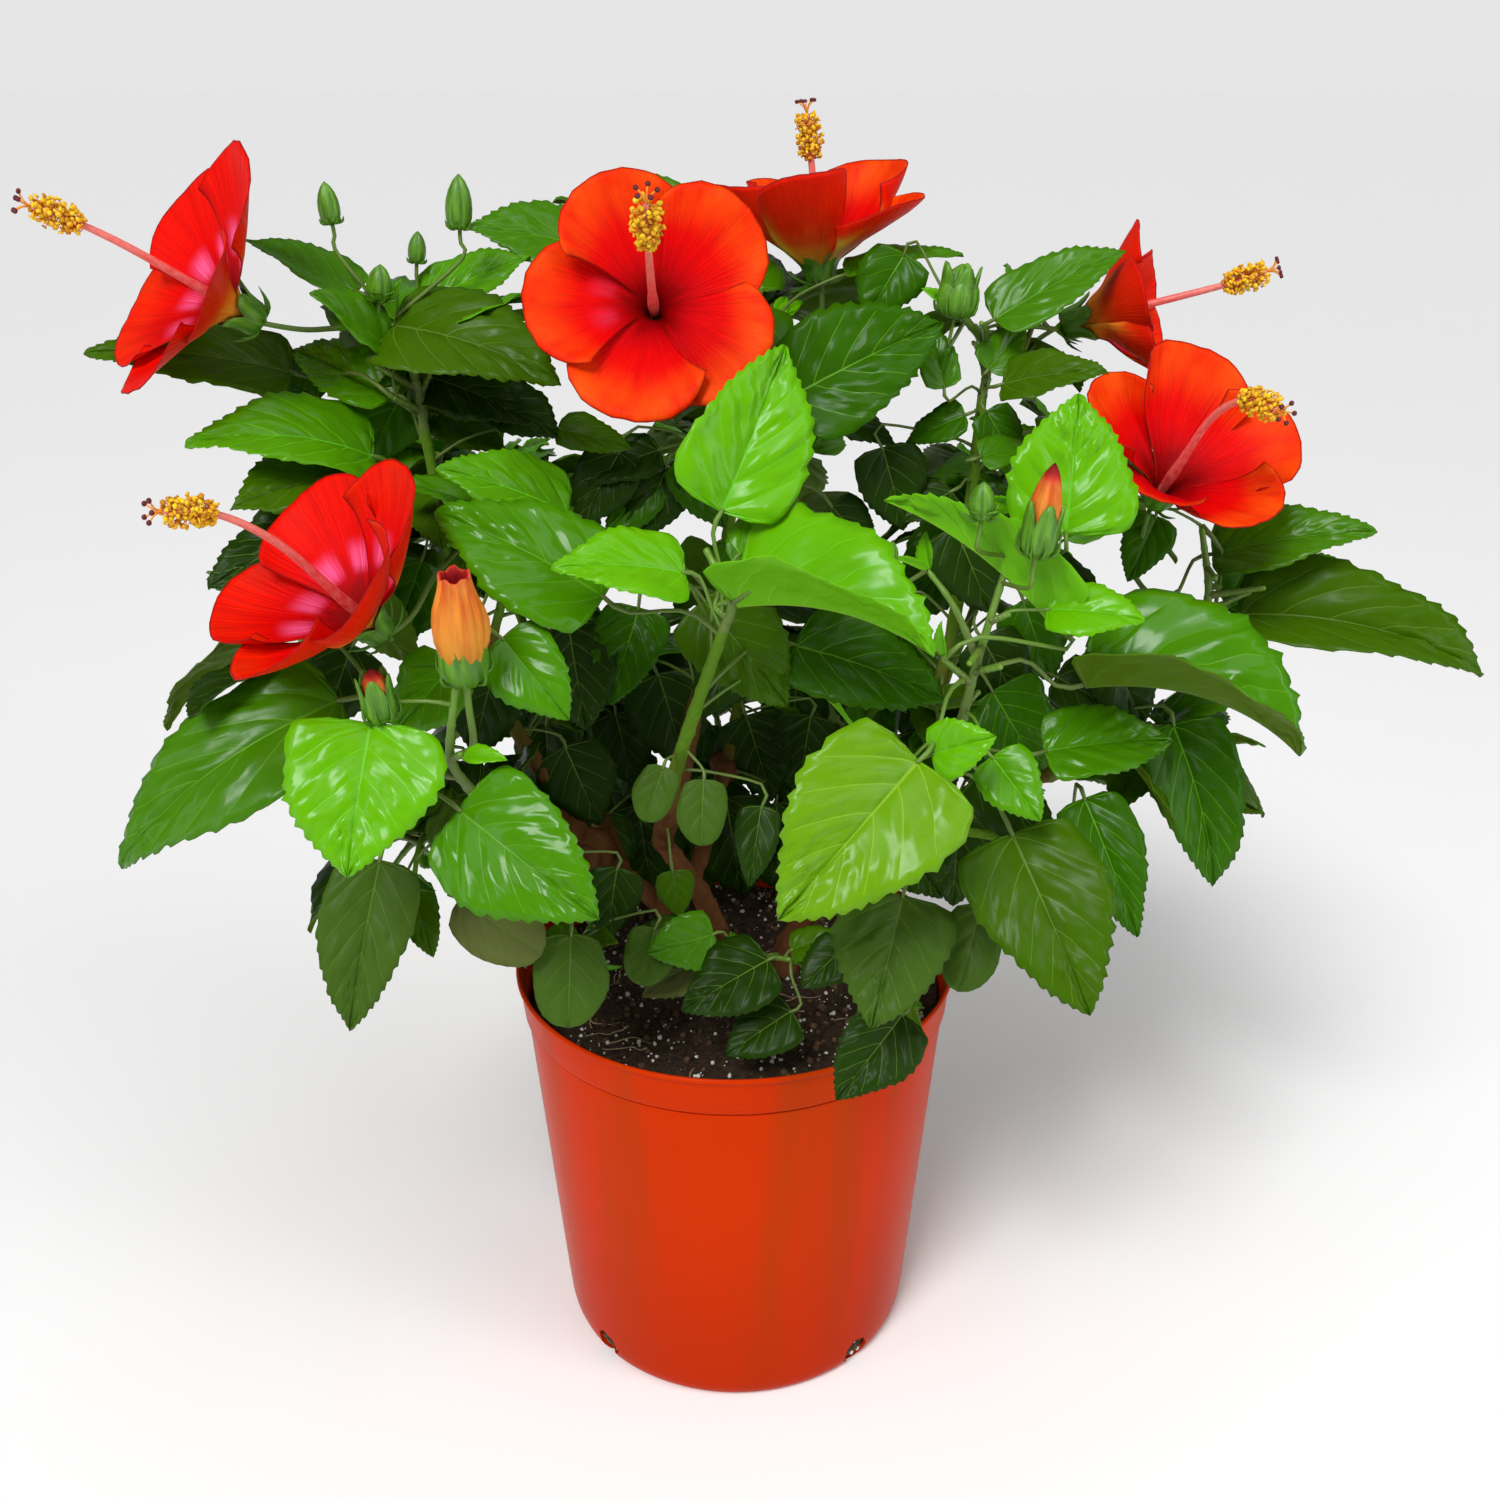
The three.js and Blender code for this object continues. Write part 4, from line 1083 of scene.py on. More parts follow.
@functools.lru_cache
def grain_group():
    """Soft uneven grain that can be stretched along one direction, as a mask and as a value."""
    return shader_group(
        "Grain", {"Scale": 60.0, "Stretch": (1.0, 1.0, 1.0), "Low": 0.3, "High": 0.6}, ("Mask", "Value"),
        {"place": ("TexCoord", {}), "mapping": ("Mapping", {}), "texture": ("TexNoise", {"Detail": 4}),
         "sharpen": ("MapRange", {"From Min": 0.3, "From Max": 0.7}), "spread": ("MapRange", {})},
        ("place.Object > mapping.Vector", "given.Stretch > mapping.Scale",
         "mapping.Vector > texture.Vector", "given.Scale > texture.Scale", "texture.Fac > sharpen.Value",
         "sharpen.Result > spread.Value", "given.Low > spread.To Min", "given.High > spread.To Max",
         "sharpen.Result > result.Mask", "spread.Result > result.Value"))


@functools.lru_cache
def streak_group():
    """Streaks that run along a piece's own length, as a mask from its pattern places."""
    return shader_group(
        "Streaks", {"Across": 30.0, "Along": 1.5}, ("Mask",),
        {"place": ("UVMap", {"uv_map": "Pattern"}), "join": ("CombineXYZ", {}),
         "scale": ("VectorMath", {"operation": "MULTIPLY"}),
         "texture": ("TexNoise", {"Scale": 1.0, "Detail": 3}),
         "sharpen": ("MapRange", {"From Min": 0.35, "From Max": 0.65})},
        ("given.Across > join.X", "given.Along > join.Y", "place.UV > scale.0", "join.Vector > scale.1",
         "scale.Vector > texture.Vector", "texture.Fac > sharpen.Value", "sharpen.Result > result.Mask"))


@functools.lru_cache
def speck_group():
    """Small scattered specks, as a mask."""
    return shader_group(
        "Specks", {"Scale": 300.0, "Share": 0.2}, ("Mask",),
        {"place": ("TexCoord", {}), "texture": ("TexVoronoi", {}),
         "fade": ("MapRange", {"From Min": 0.0, "To Min": 1.0, "To Max": 0.0})},
        ("place.Object > texture.Vector", "given.Scale > texture.Scale", "texture.Distance > fade.Value",
         "given.Share > fade.From Max", "fade.Result > result.Mask"))


class Finish:
    """A material being put together round one Principled shader."""

    def __init__(self, name, colour=(0.5, 0.5, 0.5), roughness=0.5, specular=0.5):
        self.material = bpy.data.materials.new(name)
        self.material.use_nodes = True
        self.tree = self.material.node_tree
        self.shader = self.tree.nodes["Principled BSDF"]
        self.shader.inputs["Base Color"].default_value = (*colour, 1.0)
        self.shader.inputs["Roughness"].default_value = roughness
        self.shader.inputs["Specular IOR Level"].default_value = specular

    def node(self, kind, links=(), **values):
        made = self.tree.nodes.new(kind)
        for key, value in values.items():
            setattr(made, key, value)
        for socket, source in dict(links).items():
            self.set(made.inputs[socket], source)
        return made

    def set(self, socket, source):
        if isinstance(source, bpy.types.NodeSocket):
            self.tree.links.new(source, socket)
        else:
            socket.default_value = source

    def placed(self, group, **values):
        """Places a node group with its own values and returns its outputs."""
        return self.node("ShaderNodeGroup", values, node_tree=group).outputs

    def ramp(self, source, stops):
        made = self.node("ShaderNodeValToRGB", {"Fac": source})
        elements = made.color_ramp.elements
        elements[0].position, elements[1].position = stops[0][0], stops[-1][0]
        elements[0].color, elements[1].color = (*stops[0][1], 1), (*stops[-1][1], 1)
        for position, colour in stops[1:-1]:
            elements.new(position).color = (*colour, 1)
        return made.outputs["Color"]

    def mix(self, share, first, second):
        made = self.node("ShaderNodeMix", data_type="RGBA")
        self.set(made.inputs["Factor"], share)
        for socket, source in ((made.inputs[6], first), (made.inputs[7], second)):
            self.set(socket, (*source, 1.0) if isinstance(source, tuple) else source)
        return made.outputs[2]

    def maths(self, operation, first, second=0.0, clamp=False):
        made = self.node("ShaderNodeMath", {0: first, 1: second}, operation=operation, use_clamp=clamp)
        return made.outputs[0]

    def times(self, first, second, clamp=False):
        return self.maths("MULTIPLY", first, second, clamp)

    def less(self, value):
        """What is left of 1 when the value is taken away."""
        return self.maths("SUBTRACT", 1.0, value)

    def steps(self, value, low, high):
        """A share that rises smoothly from 0 to 1 as the value goes from low to high."""
        made = self.node("ShaderNodeMapRange", {"Value": value, "From Min": low, "From Max": high},
                         interpolation_type="SMOOTHSTEP")
        return made.outputs["Result"]

    def pattern(self):
        """Across and along, from the piece's pattern places."""
        place = self.node("ShaderNodeUVMap", uv_map="Pattern")
        split = self.node("ShaderNodeSeparateXYZ", {"Vector": place.outputs["UV"]})
        return split.outputs["X"], split.outputs["Y"]

    def tone(self):
        return self.node("ShaderNodeAttribute", attribute_name="tone").outputs["Fac"]

    def colour(self, source):
        self.set(self.shader.inputs["Base Color"], source)

    def uneven(self, **values):
        """Lets placed grain set the roughness, and returns the grain's outputs."""
        grain = self.placed(grain_group(), **values)
        self.set(self.shader.inputs["Roughness"], grain["Value"])
        return grain

    def bump(self, height, strength, distance):
        made = self.node("ShaderNodeBump", {"Height": height, "Strength": strength, "Distance": distance})
        self.tree.links.new(made.outputs["Normal"], self.shader.inputs["Normal"])


LEAF_COLOURS = {  # base colour, roughness low and high
    "yellow": ((0.125, 0.300, 0.003), 0.22, 0.32),
    "bright": ((0.112, 0.385, 0.001), 0.18, 0.28),
    "fresh": ((0.076, 0.270, 0.001), 0.18, 0.28),
    "glossy": ((0.056, 0.212, 0.001), 0.14, 0.24),
    "mid": ((0.050, 0.178, 0.001), 0.20, 0.34),
    "olive": ((0.042, 0.112, 0.0), 0.26, 0.40),
    "deep": ((0.027, 0.110, 0.0), 0.22, 0.36),
    "grey": ((0.048, 0.106, 0.008), 0.36, 0.50),
    "drab": ((0.100, 0.122, 0.028), 0.44, 0.58),
    # painted shade: a near-black green for leaves that stand in for the crown's shadow
    "painted_shade": ((0.013, 0.040, 0.001), 0.30, 0.44),
    "vein_yellow": ((0.210, 0.400, 0.015), 0.28, 0.40),
    "vein_bright": ((0.120, 0.470, 0.012), 0.28, 0.40),
    "vein_mid": ((0.085, 0.265, 0.004), 0.30, 0.42),
    "vein_dull": ((0.086, 0.165, 0.014), 0.38, 0.52),
    "under_fresh": ((0.130, 0.430, 0.002), 0.40, 0.52),
    "under_dull": ((0.070, 0.145, 0.002), 0.44, 0.56),
    "under_vein": ((0.210, 0.450, 0.030), 0.40, 0.52),
}
LEAF_SLOTS = list(LEAF_COLOURS)


@functools.lru_cache
def leaf_finishes():
    """One plain base colour for each tint, so that it stays with its spray; gloss varies softly."""
    made = []
    for name, (colour, low, high) in LEAF_COLOURS.items():
        finish = Finish(f"leaf_{name}", colour, roughness=low, specular=0.18 if colour[1] > 0.15 else 0.1)
        finish.uneven(Scale=180.0, Low=low, High=high)
        made.append(finish.material)
    return made


def veined_petal(name, stops, streak_dark):
    """The start of a petal's finish: a ramp from throat to edge with dark streaks along it."""
    finish = Finish(name, roughness=0.48, specular=0.05)
    across, along = finish.pattern()
    streaks = finish.placed(streak_group(), Across=46.0, Along=1.6)
    wander = finish.placed(streak_group(), Across=5.0, Along=2.5)
    shifted = finish.maths("ADD", along, finish.times(finish.maths("SUBTRACT", wander["Mask"], 0.5), 0.10))
    colour = finish.ramp(shifted, stops)
    dark = finish.times(streaks["Mask"], streak_dark)
    colour = finish.mix(dark, colour, (0.30, 0.001, 0.003))
    return finish, across, along, streaks, wander, colour


def painted_edge_shade(finish, middle, along, share, colour, rim):
    """Paints shade into a petal's colour, as a thin dark line round its edge."""
    edge = finish.maths("MAXIMUM", finish.steps(middle, 0.486, 0.499), finish.steps(along, 0.984, 0.998))
    return finish.mix(finish.times(edge, share), colour, rim)


@functools.lru_cache
def bloom_finishes():
    front, across, along, streaks, wander, colour = veined_petal(
        "petal_front", ((0.0, (0.16, 0.0, 0.001)), (0.28, (0.28, 0.0, 0.001)), (0.40, (0.56, 0.0, 0.002)),
                        (0.52, (0.74, 0.0, 0.0)), (0.72, (0.82, 0.003, 0.0)), (1.0, (0.83, 0.006, 0.0))),
        0.42)
    middle = front.maths("ABSOLUTE", front.maths("SUBTRACT", across, 0.5))
    off_middle = front.times(front.steps(middle, 0.03, 0.16), front.less(front.steps(middle, 0.26, 0.44)))
    blush = front.times(front.steps(along, 0.34, 0.44), front.less(front.steps(along, 0.46, 0.62)))
    blush = front.times(front.times(blush, off_middle), front.less(front.times(front.tone(), 1.8)), True)
    streak_blush = front.times(blush, front.maths("ADD", streaks["Mask"], 0.35), True)
    colour = front.mix(streak_blush, colour, (0.86, 0.10, 0.26))
    orange = front.times(front.steps(along, 0.60, 0.92), front.tone())
    orange = front.times(orange, front.maths("ADD", wander["Mask"], 0.35), True)
    colour = front.mix(orange, colour, (0.90, 0.085, 0.003))
    # painted shade: a thin dark line round the edge of the petal's face
    front.colour(painted_edge_shade(front, middle, along, 0.75, colour, (0.20, 0.004, 0.004)))
    front.bump(streaks["Mask"], 0.4, 0.0006)

    back, across, along, streaks, wander, colour = veined_petal(
        "petal_back", ((0.0, (0.70, 0.44, 0.05)), (0.26, (0.86, 0.26, 0.02)), (0.42, (0.84, 0.070, 0.006)),
                       (0.60, (0.82, 0.025, 0.002)), (1.0, (0.76, 0.010, 0.001))), 0.16)
    side = back.less(back.steps(across, 0.04, 0.30))
    gold = back.times(side, back.less(back.steps(along, 0.55, 0.88)))
    gold = back.times(gold, back.maths("ADD", wander["Mask"], 0.45), True)
    gold = back.times(gold, back.maths("ADD", back.tone(), 0.15), True)
    colour = back.mix(gold, colour, (0.88, 0.45, 0.04))
    middle = back.maths("ABSOLUTE", back.maths("SUBTRACT", across, 0.5))
    # painted shade: a thin dark line round the edge of the petal's back
    back.colour(painted_edge_shade(back, middle, along, 0.8, colour, (0.24, 0.01, 0.008)))
    back.bump(streaks["Mask"], 0.35, 0.0006)

    column = Finish("bloom_column", roughness=0.45)
    streak = column.placed(streak_group(), Across=6.0, Along=30.0)
    colour = column.ramp(column.tone(), ((0.0, (0.45, 0.004, 0.01)), (0.3, (0.72, 0.06, 0.06)),
                                         (1.0, (0.78, 0.20, 0.15))))
    column.colour(column.mix(column.times(streak["Mask"], 0.35), colour, (0.86, 0.36, 0.30)))
    filament = Finish("anther_stalk", (0.82, 0.30, 0.03), 0.5)
    filament.uneven(Scale=400.0, Low=0.4, High=0.6)
    anther = Finish("anther", roughness=0.7)
    anther.colour(anther.ramp(anther.tone(), ((0.0, (0.58, 0.22, 0.004)), (0.35, (0.84, 0.44, 0.006)),
                                              (1.0, (0.92, 0.64, 0.010)))))
    stigma = Finish("stigma", (0.10, 0.002, 0.006), 0.55)
    stigma.uneven(Scale=900.0, Low=0.45, High=0.75)
    return [front.material, back.material, column.material, filament.material, anther.material,
            stigma.material]


@functools.lru_cache
def green_finishes():
    """Calyx green, stalk green and the wood that shoots ripen to."""
    calyx = Finish("calyx_green", roughness=0.42)
    streak = calyx.placed(streak_group(), Across=16.0, Along=2.0)
    calyx.colour(calyx.mix(streak["Mask"], (0.040, 0.145, 0.003), (0.120, 0.320, 0.010)))
    calyx.bump(streak["Mask"], 0.5, 0.0005)
    stalk = Finish("stalk_green", roughness=0.40)
    grain = stalk.uneven(Scale=120.0, Stretch=(1, 1, 0.25), Low=0.32, High=0.5)
    colour = stalk.ramp(stalk.tone(), ((0.0, (0.11, 0.065, 0.028)), (0.30, (0.085, 0.105, 0.020)),
                                       (0.6, (0.090, 0.175, 0.012)), (1.0, (0.120, 0.270, 0.014))))
    stalk.colour(stalk.mix(stalk.times(grain["Mask"], 0.35), colour, (0.16, 0.26, 0.05)))
    return [calyx.material, stalk.material]


@functools.lru_cache
def spent_finish():
    finish = Finish("spent_petal", roughness=0.55, specular=0.25)
    across, along = finish.pattern()
    streaks = finish.placed(streak_group(), Across=22.0, Along=2.2)
    wander = finish.placed(streak_group(), Across=7.0, Along=3.0)
    colour = finish.ramp(along, ((0.0, (0.62, 0.30, 0.02)), (0.32, (0.70, 0.21, 0.010)),
                                 (0.58, (0.72, 0.12, 0.010)), (0.70, (0.60, 0.030, 0.012)),
                                 (0.78, (0.30, 0.002, 0.003)), (1.0, (0.10, 0.001, 0.001))))
    inside = finish.less(finish.steps(along, 0.66, 0.74))
    red = finish.times(streaks["Mask"], finish.times(inside, 0.6))
    colour = finish.mix(red, colour, (0.42, 0.030, 0.004))
    pale = finish.times(wander["Mask"], finish.times(inside, 0.4))
    finish.colour(finish.mix(pale, colour, (0.86, 0.42, 0.06)))
    finish.bump(streaks["Mask"], 0.6, 0.0008)
    return finish.material


def bark_finish(settings):
    finish = Finish("bark", roughness=0.8, specular=0.12)
    grain = finish.uneven(Scale=90.0, Stretch=(1, 1, 0.3), Low=0.62, High=0.9)
    fine = finish.placed(grain_group(), Scale=420.0, Stretch=(1, 1, 0.5))
    specks = finish.placed(speck_group(), Scale=260.0, Share=0.18)
    colour = finish.mix(grain["Mask"], tuple(settings.colour), (0.175, 0.070, 0.022))
    colour = finish.mix(finish.steps(finish.tone(), 0.30, 0.65), colour, (0.095, 0.210, 0.010))
    finish.colour(finish.mix(finish.times(specks["Mask"], 0.5), colour, (0.34, 0.24, 0.14)))
    finish.bump(finish.maths("ADD", fine["Mask"], specks["Mask"]), 0.6, 0.0007)
    return finish.material


def pot_finish(settings):
    """Thin moulded plastic with pale specks of scuffs and dust, and painted shade: upright darker bands
    and a darker foot.
    """
    finish = Finish("pot_plastic", roughness=0.26, specular=0.03)
    # the grain sets the roughness; its mask also paints shade into the colour as upright darker bands
    gloss_and_shade_bands = finish.uneven(Scale=7.0, Stretch=(3, 3, 0.06), Low=0.24, High=0.28)
    dust = finish.placed(speck_group(), Scale=420.0, Share=0.07)
    place = finish.node("ShaderNodeTexCoord")
    split = finish.node("ShaderNodeSeparateXYZ", {"Vector": place.outputs["Object"]})
    # painted shade: the plastic is mixed darker towards the pot's foot
    low = finish.less(finish.steps(split.outputs["Z"], 0.0, 0.15))
    # painted shade: upright bands mixed towards a darker orange
    band = finish.steps(gloss_and_shade_bands["Mask"], 0.35, 0.75)
    colour = finish.mix(band, tuple(settings.colour), (0.43, 0.036, 0.001))
    colour = finish.mix(finish.times(low, 0.75), colour, (0.40, 0.020, 0.0))
    finish.colour(finish.mix(finish.times(dust["Mask"], 0.3), colour, (0.62, 0.30, 0.20)))
    return finish.material


@functools.lru_cache
def soil_finishes():
    peat = Finish("peat", roughness=0.95, specular=0.2)
    grain = peat.placed(grain_group(), Scale=260.0)
    fine = peat.placed(grain_group(), Scale=900.0)
    colour = peat.mix(grain["Mask"], (0.011, 0.007, 0.005), (0.066, 0.039, 0.022))
    peat.colour(peat.mix(peat.times(fine["Mask"], 0.3), colour, (0.120, 0.072, 0.042)))
    peat.bump(fine["Mask"], 0.8, 0.0015)
    made = [peat.material]
    for name, rough, scale, stretch, dark, light in (
            ("perlite", 0.85, 500.0, 1, (0.50, 0.46, 0.38), (0.82, 0.80, 0.74)),
            ("wood_chip", 0.85, 300.0, 0.3, (0.035, 0.018, 0.010), (0.150, 0.078, 0.036)),
            ("rootlet", 0.7, 200.0, 1, (0.20, 0.12, 0.06), (0.42, 0.31, 0.19))):
        finish = Finish(name, roughness=rough)
        grain = finish.placed(grain_group(), Scale=scale, Stretch=(1, stretch, 1))
        finish.colour(finish.mix(grain["Mask"], dark, light))
        made.append(finish.material)
    return made


# ---------- pieces ----------


POT_SHARP = 40  # edges of the pot sharper than this stay crisp, in degrees


def build_pot(settings):
    """The thin pot: foot, rounded corner, wall, groove, band and rolled lip, with four drain holes."""
    lip, top = POT_RADIUS, POT_HIGH
    band, band_foot = lip - 2.8, top - 24
    outline = [(60, 1.2), (91, 1.2), (92.6, 0.3), (94, 0), (96.5, 0.1), (99.2, 1.2), (101.2, 3.4),
               (102.6, 7.2), (103.4, 12)]
    for share in np.linspace(0.04, 1, 16):
        outline.append((103.6 + (119 - 103.6) * share, 13 + (band_foot - 1.6 - 14) * share))
    outline += [(119.0, band_foot - 1.2), (118.2, band_foot - 0.9), (118.1, band_foot + 0.1),
                (118.6, band_foot + 0.5), (120.4, band_foot + 0.8), (120.9, band_foot + 1.5),
                (120.9, band_foot + 4.6), (121.1, band_foot + 5.4), (band, band_foot + 6.2),
                (band + 0.2, top - 6.0), (band + 0.5, top - 4.4), (band + 1.3, top - 3.5),
                (lip - 0.5, top - 3.1), (lip, top - 2.2), (lip, top - 1.1), (lip - 0.4, top - 0.35),
                (lip - 1.1, top), (lip - 1.9, top - 0.2), (lip - 2.5, top - 1.2), (lip - 3.6, top - 4),
                (lip - 4.6, top - 8), (lip - 4.8, band_foot + 4), (lip - 7.2, band_foot - 2)]
    for share in np.linspace(0.06, 1, 12):
        outline.append((117.0 + (101.7 - 117.0) * share, band_foot - 2 + (14 - band_foot + 2) * share))
    outline += [(100.6, 7.5), (98.4, 4.4), (94, 3.4), (60, 3.4)]
    gathered = Gathered()
    wobble = settings.wobble / MM

    def out_of_round(radius, height, turn):
        return radius * (1 + wobble / 119 * np.sin(2 * turn + 0.6) * height / top), height

    add_lathe(gathered, (0, 0, 0), UP, outline, sides=144, shape=out_of_round, start=np.array((1.0, 0, 0)))
    piece = gathered.piece("pot_shell", [pot_finish(settings)], "pot_plastic", replaced=["pot"],
                           smooth_angle=POT_SHARP)
    cutters = Gathered()
    for index in range(settings.holes):
        turn = (settings.first_hole + index * 360 / settings.holes) * DEG
        outward = np.array((cos(turn), sin(turn), 0.0))
        bore = [(settings.hole_radius / MM * ragged, height) for ragged, height in ((1, 88), (1, 116))]
        add_lathe(cutters, (0, 0, settings.hole_height / MM), outward, bore, sides=22,
                  shape=lambda r, h, t: (r * (1 + 0.06 * np.sin(3 * t) + 0.05 * np.sin(7 * t)), h))
    cutter = cutters.piece("hole_cutter", [], "pot_plastic")
    cut = piece.modifiers.new("holes", "BOOLEAN")
    cut.operation, cut.solver, cut.object = "DIFFERENCE", "EXACT", cutter
    finished = bpy.data.meshes.new_from_object(piece.evaluated_get(bpy.context.evaluated_depsgraph_get()))
    piece.modifiers.clear()
    piece.data = finished
    finished.set_sharp_from_angle(angle=POT_SHARP * DEG)
    bpy.data.objects.remove(cutter)
    return piece


def scattered_grain(gathered, place, size, slot, rng, flat=0.8, sides=6):
    """One crumb: a few-sided lump knocked out of shape."""
    axis = unit(rng.normal(0, 1, 3))
    outline = ((0.30, -0.45), (0.5, -0.15), (0.46, 0.2), (0.22, 0.45))
    knocks = rng.uniform(0.7, 1.25, (len(outline), sides))
    add_lathe(gathered, place, axis, [(out * size, height * size * flat) for out, height in outline],
              sides=sides, slot=slot, shape=lambda radius, height, turn: (radius * knocks, height))


def build_soil(settings):
    """Dark potting mix with white perlite, brown chips and pale rootlets."""
    low, high = mass_box("soil")
    edge = (high[0] - low[0]) / 2 + 0.2
    level = high[2] - 2.5
    rng = np.random.default_rng(settings.seed)

    def lumpy(x, y):
        spot = Vector((x / 9, y / 9, 0.3))
        fine = Vector((x / 2.6, y / 2.6, 4.1))
        return 2.4 * noise.noise(spot) + 1.0 * noise.noise(fine)

    def surface(x, y):
        return level + 2.0 * (1 - (x * x + y * y) / edge ** 2) + lumpy(x, y)

    rings = 62
    outline = [(60, 4.0), (94, 4.2), (100.6, 9), (101.4, 16), (edge - 0.8, level - 8), (edge, level - 3)]
    walls = len(outline)
    outline += [(edge * (1 - share), level) for share in np.linspace(0.002, 0.99, rings)]

    def crumbled(radius, height, turn):
        height = height.copy()
        for ring in range(walls, len(height)):
            for column in range(height.shape[1]):
                away, angle = radius[ring, column], turn[0, column]
                height[ring, column] = surface(away * cos(angle), away * sin(angle))
        return radius, height

    gathered = Gathered()
    add_lathe(gathered, (0, 0, 0), UP, outline, sides=132, shape=crumbled, start=np.array((1.0, 0, 0)))
    gathered.piece("potting_mix", soil_finishes()[:1], "potting_mix", replaced=["soil"])

    bits = Gathered()
    for count, small, large, slot in ((settings.perlite, 0.9, 3.0, 0), (settings.chips, 1.4, 5.2, 1)):
        for _ in range(count):
            away, turn = (edge - 3) * math.sqrt(rng.random()), rng.uniform(0, TURN)
            x, y = away * cos(turn), away * sin(turn)
            size = small + (large - small) * rng.random() ** 2.2
            scattered_grain(bits, (x, y, surface(x, y) + size * 0.12), size, slot, rng,
                            flat=1.0 if slot == 0 else 0.9)
    for _ in range(settings.rootlets):
        away, turn = (edge - 20) * math.sqrt(rng.random()), rng.uniform(0, TURN)
        heading = rng.uniform(0, TURN)
        spots = []
        x, y = away * cos(turn), away * sin(turn)
        for _ in range(7):
            spots.append((x, y, surface(x, y) + 0.6))
            heading += rng.normal(0, 0.45)
            x, y = x + 4.2 * cos(heading), y + 4.2 * sin(heading)
            if math.hypot(x, y) > edge - 4:
                break
        if len(spots) > 3:
            add_tube(bits, smooth_path(spots, 14), np.linspace(0.5, 0.22, 14), 5, slot=2)
    for index in range(4):
        turn = (-47 + 90 * index) * DEG
        for _ in range(26):
            spread, rise = rng.uniform(-7, 7), rng.uniform(4.5, 16)
            away = 98.6 + rise * 0.12
            place = np.array((cos(turn) * away - sin(turn) * spread,
                              sin(turn) * away + cos(turn) * spread, rise))
            scattered_grain(bits, place, rng.uniform(1.2, 3.4), int(rng.random() < 0.85), rng)
    bits.piece("mix_crumbs", soil_finishes()[1:], "potting_mix")


def barked_limb(gathered, line, radii, rough, green, rng, into_root=0.0):
    """A limb with ridged bark, swollen leaf scars and corky specks in relief."""
    if into_root:
        line = np.vstack((line[0] - unit(line[1] - line[0]) * into_root, line))
        radii = np.concatenate((radii[:1], radii))
    length = norm(np.diff(line, axis=0), axis=1).sum()
    rings = int(np.clip(length / 2.2, 14, 60))
    sides = 18
    path = smooth_path(line, rings)
    share = np.linspace(0, 1, rings)
    tone = np.interp(share, (0, 1), green)
    coarse = (rough * (1 - 0.75 * np.clip(tone - 0.3, 0, 0.7) / 0.7))[:, None]
    spread = np.interp(share, np.linspace(0, 1, len(radii)), radii)
    seed = rng.uniform(0, 100)
    relief = np.zeros((rings, sides))
    for ring in range(rings):
        depth = share[ring] * length
        for column in range(sides):
            turn = column * TURN / sides
            ridge = noise.noise(Vector((cos(turn) * 1.9, sin(turn) * 1.9, depth / 16 + seed)))
            pit = noise.noise(Vector((cos(turn) * 4, sin(turn) * 4, depth / 4 + seed)))
            relief[ring, column] = (0.9 * ridge + 0.5 * pit) * spread[ring] * 0.22
    relief *= coarse
    for place in np.arange(rng.uniform(4, 12), length, rng.uniform(11, 17)):
        turn = rng.uniform(0, TURN)
        angles = np.arange(sides) * TURN / sides
        near = np.exp(-((share * length - place) / 2.0) ** 2)[:, None]
        side = 0.4 + 0.6 * np.clip(np.cos(angles - turn), 0, 1)[None] ** 2
        relief += near * side * 0.20 * spread[:, None]
    add_tube(gathered, path, spread, sides, tone=tone, relief=relief)


def build_wood(settings):
    rng = np.random.default_rng(settings.seed)
    material = bark_finish(settings)
    stems = Gathered()
    for name in STEMS:
        line, radii = limb_line(name)
        line[0][2] -= 3
        barked_limb(stems, line, radii, settings.roughness, (0.0, 0.1), rng)
    stems.piece("woody_stems", [material], "bark", replaced=STEMS)
    boughs = Gathered()
    for name in BOUGHS:
        line, radii = limb_line(name)
        barked_limb(boughs, line, radii, settings.roughness, (0.1, 1.0), rng, into_root=5)
    boughs.piece("woody_boughs", [material], "bark", replaced=BOUGHS)


def build_shoots():
    """Green shoots with swollen joints, and the stalk of every leaf."""
    shoots = Gathered()
    for shoot in growth().shoots:
        path = shoot.path
        count = 3 * len(path)
        dense = smooth_path(path, count)
        radii = np.interp(np.linspace(0, 1, count), np.linspace(0, 1, len(path)), shoot.radii)
        joints = 1 + 0.16 * np.exp(-((np.arange(count) % 6 - 3) / 0.8) ** 2)
        tone = np.clip(np.linspace(0.45 - shoot.wood, 1.0, count), 0, 1)
        add_tube(shoots, dense, radii * joints, 9, slot=1, tone=tone)
    shoots.piece("green_shoots", green_finishes(), "leaf")
    stalks = Gathered()
    for leaf in growth().leaves:
        if leaf.node is None:
            continue
        base, node, ahead = leaf.base, leaf.node, leaf.ahead
        span = norm(base - node)
        out = unit(unit(base - node) + UP * 0.35)
        path = smooth_path((node, node + out * span * 0.36, base - ahead * span * 0.22,
                            base + ahead * 1.5), 9)
        thick = np.interp(leaf.length, (40, 120), (0.85, 1.35))
        radii = thick * np.array((1.35, 1.0, 0.92, 0.88, 0.85, 0.85, 0.92, 1.15, 0.9))
        tone = 0.75 if leaf.tint in PALE_TINTS else 0.5
        add_tube(stalks, path, radii, 7, slot=1, tone=np.full(9, tone))
    stalks.piece("leaf_stalks", green_finishes(), "leaf")


FOLIAGE = {
    "foliage_top": ("top_left", "top", "top_right", "middle_right"),
    "foliage_left": ("left", "middle_left", "front_left", "low_left", "foot_left"),
    "foliage_front": ("front", "front_right", "low_right", "rim", "foot"),
    "foliage_right": ("right", "right_low"),
    "foliage_back_left": ("back_left", "back"),
    "foliage_back_right": ("back_right",),
    "foliage_low_back": ("low_back",),
}
MOST_TRIANGLES = 200_000


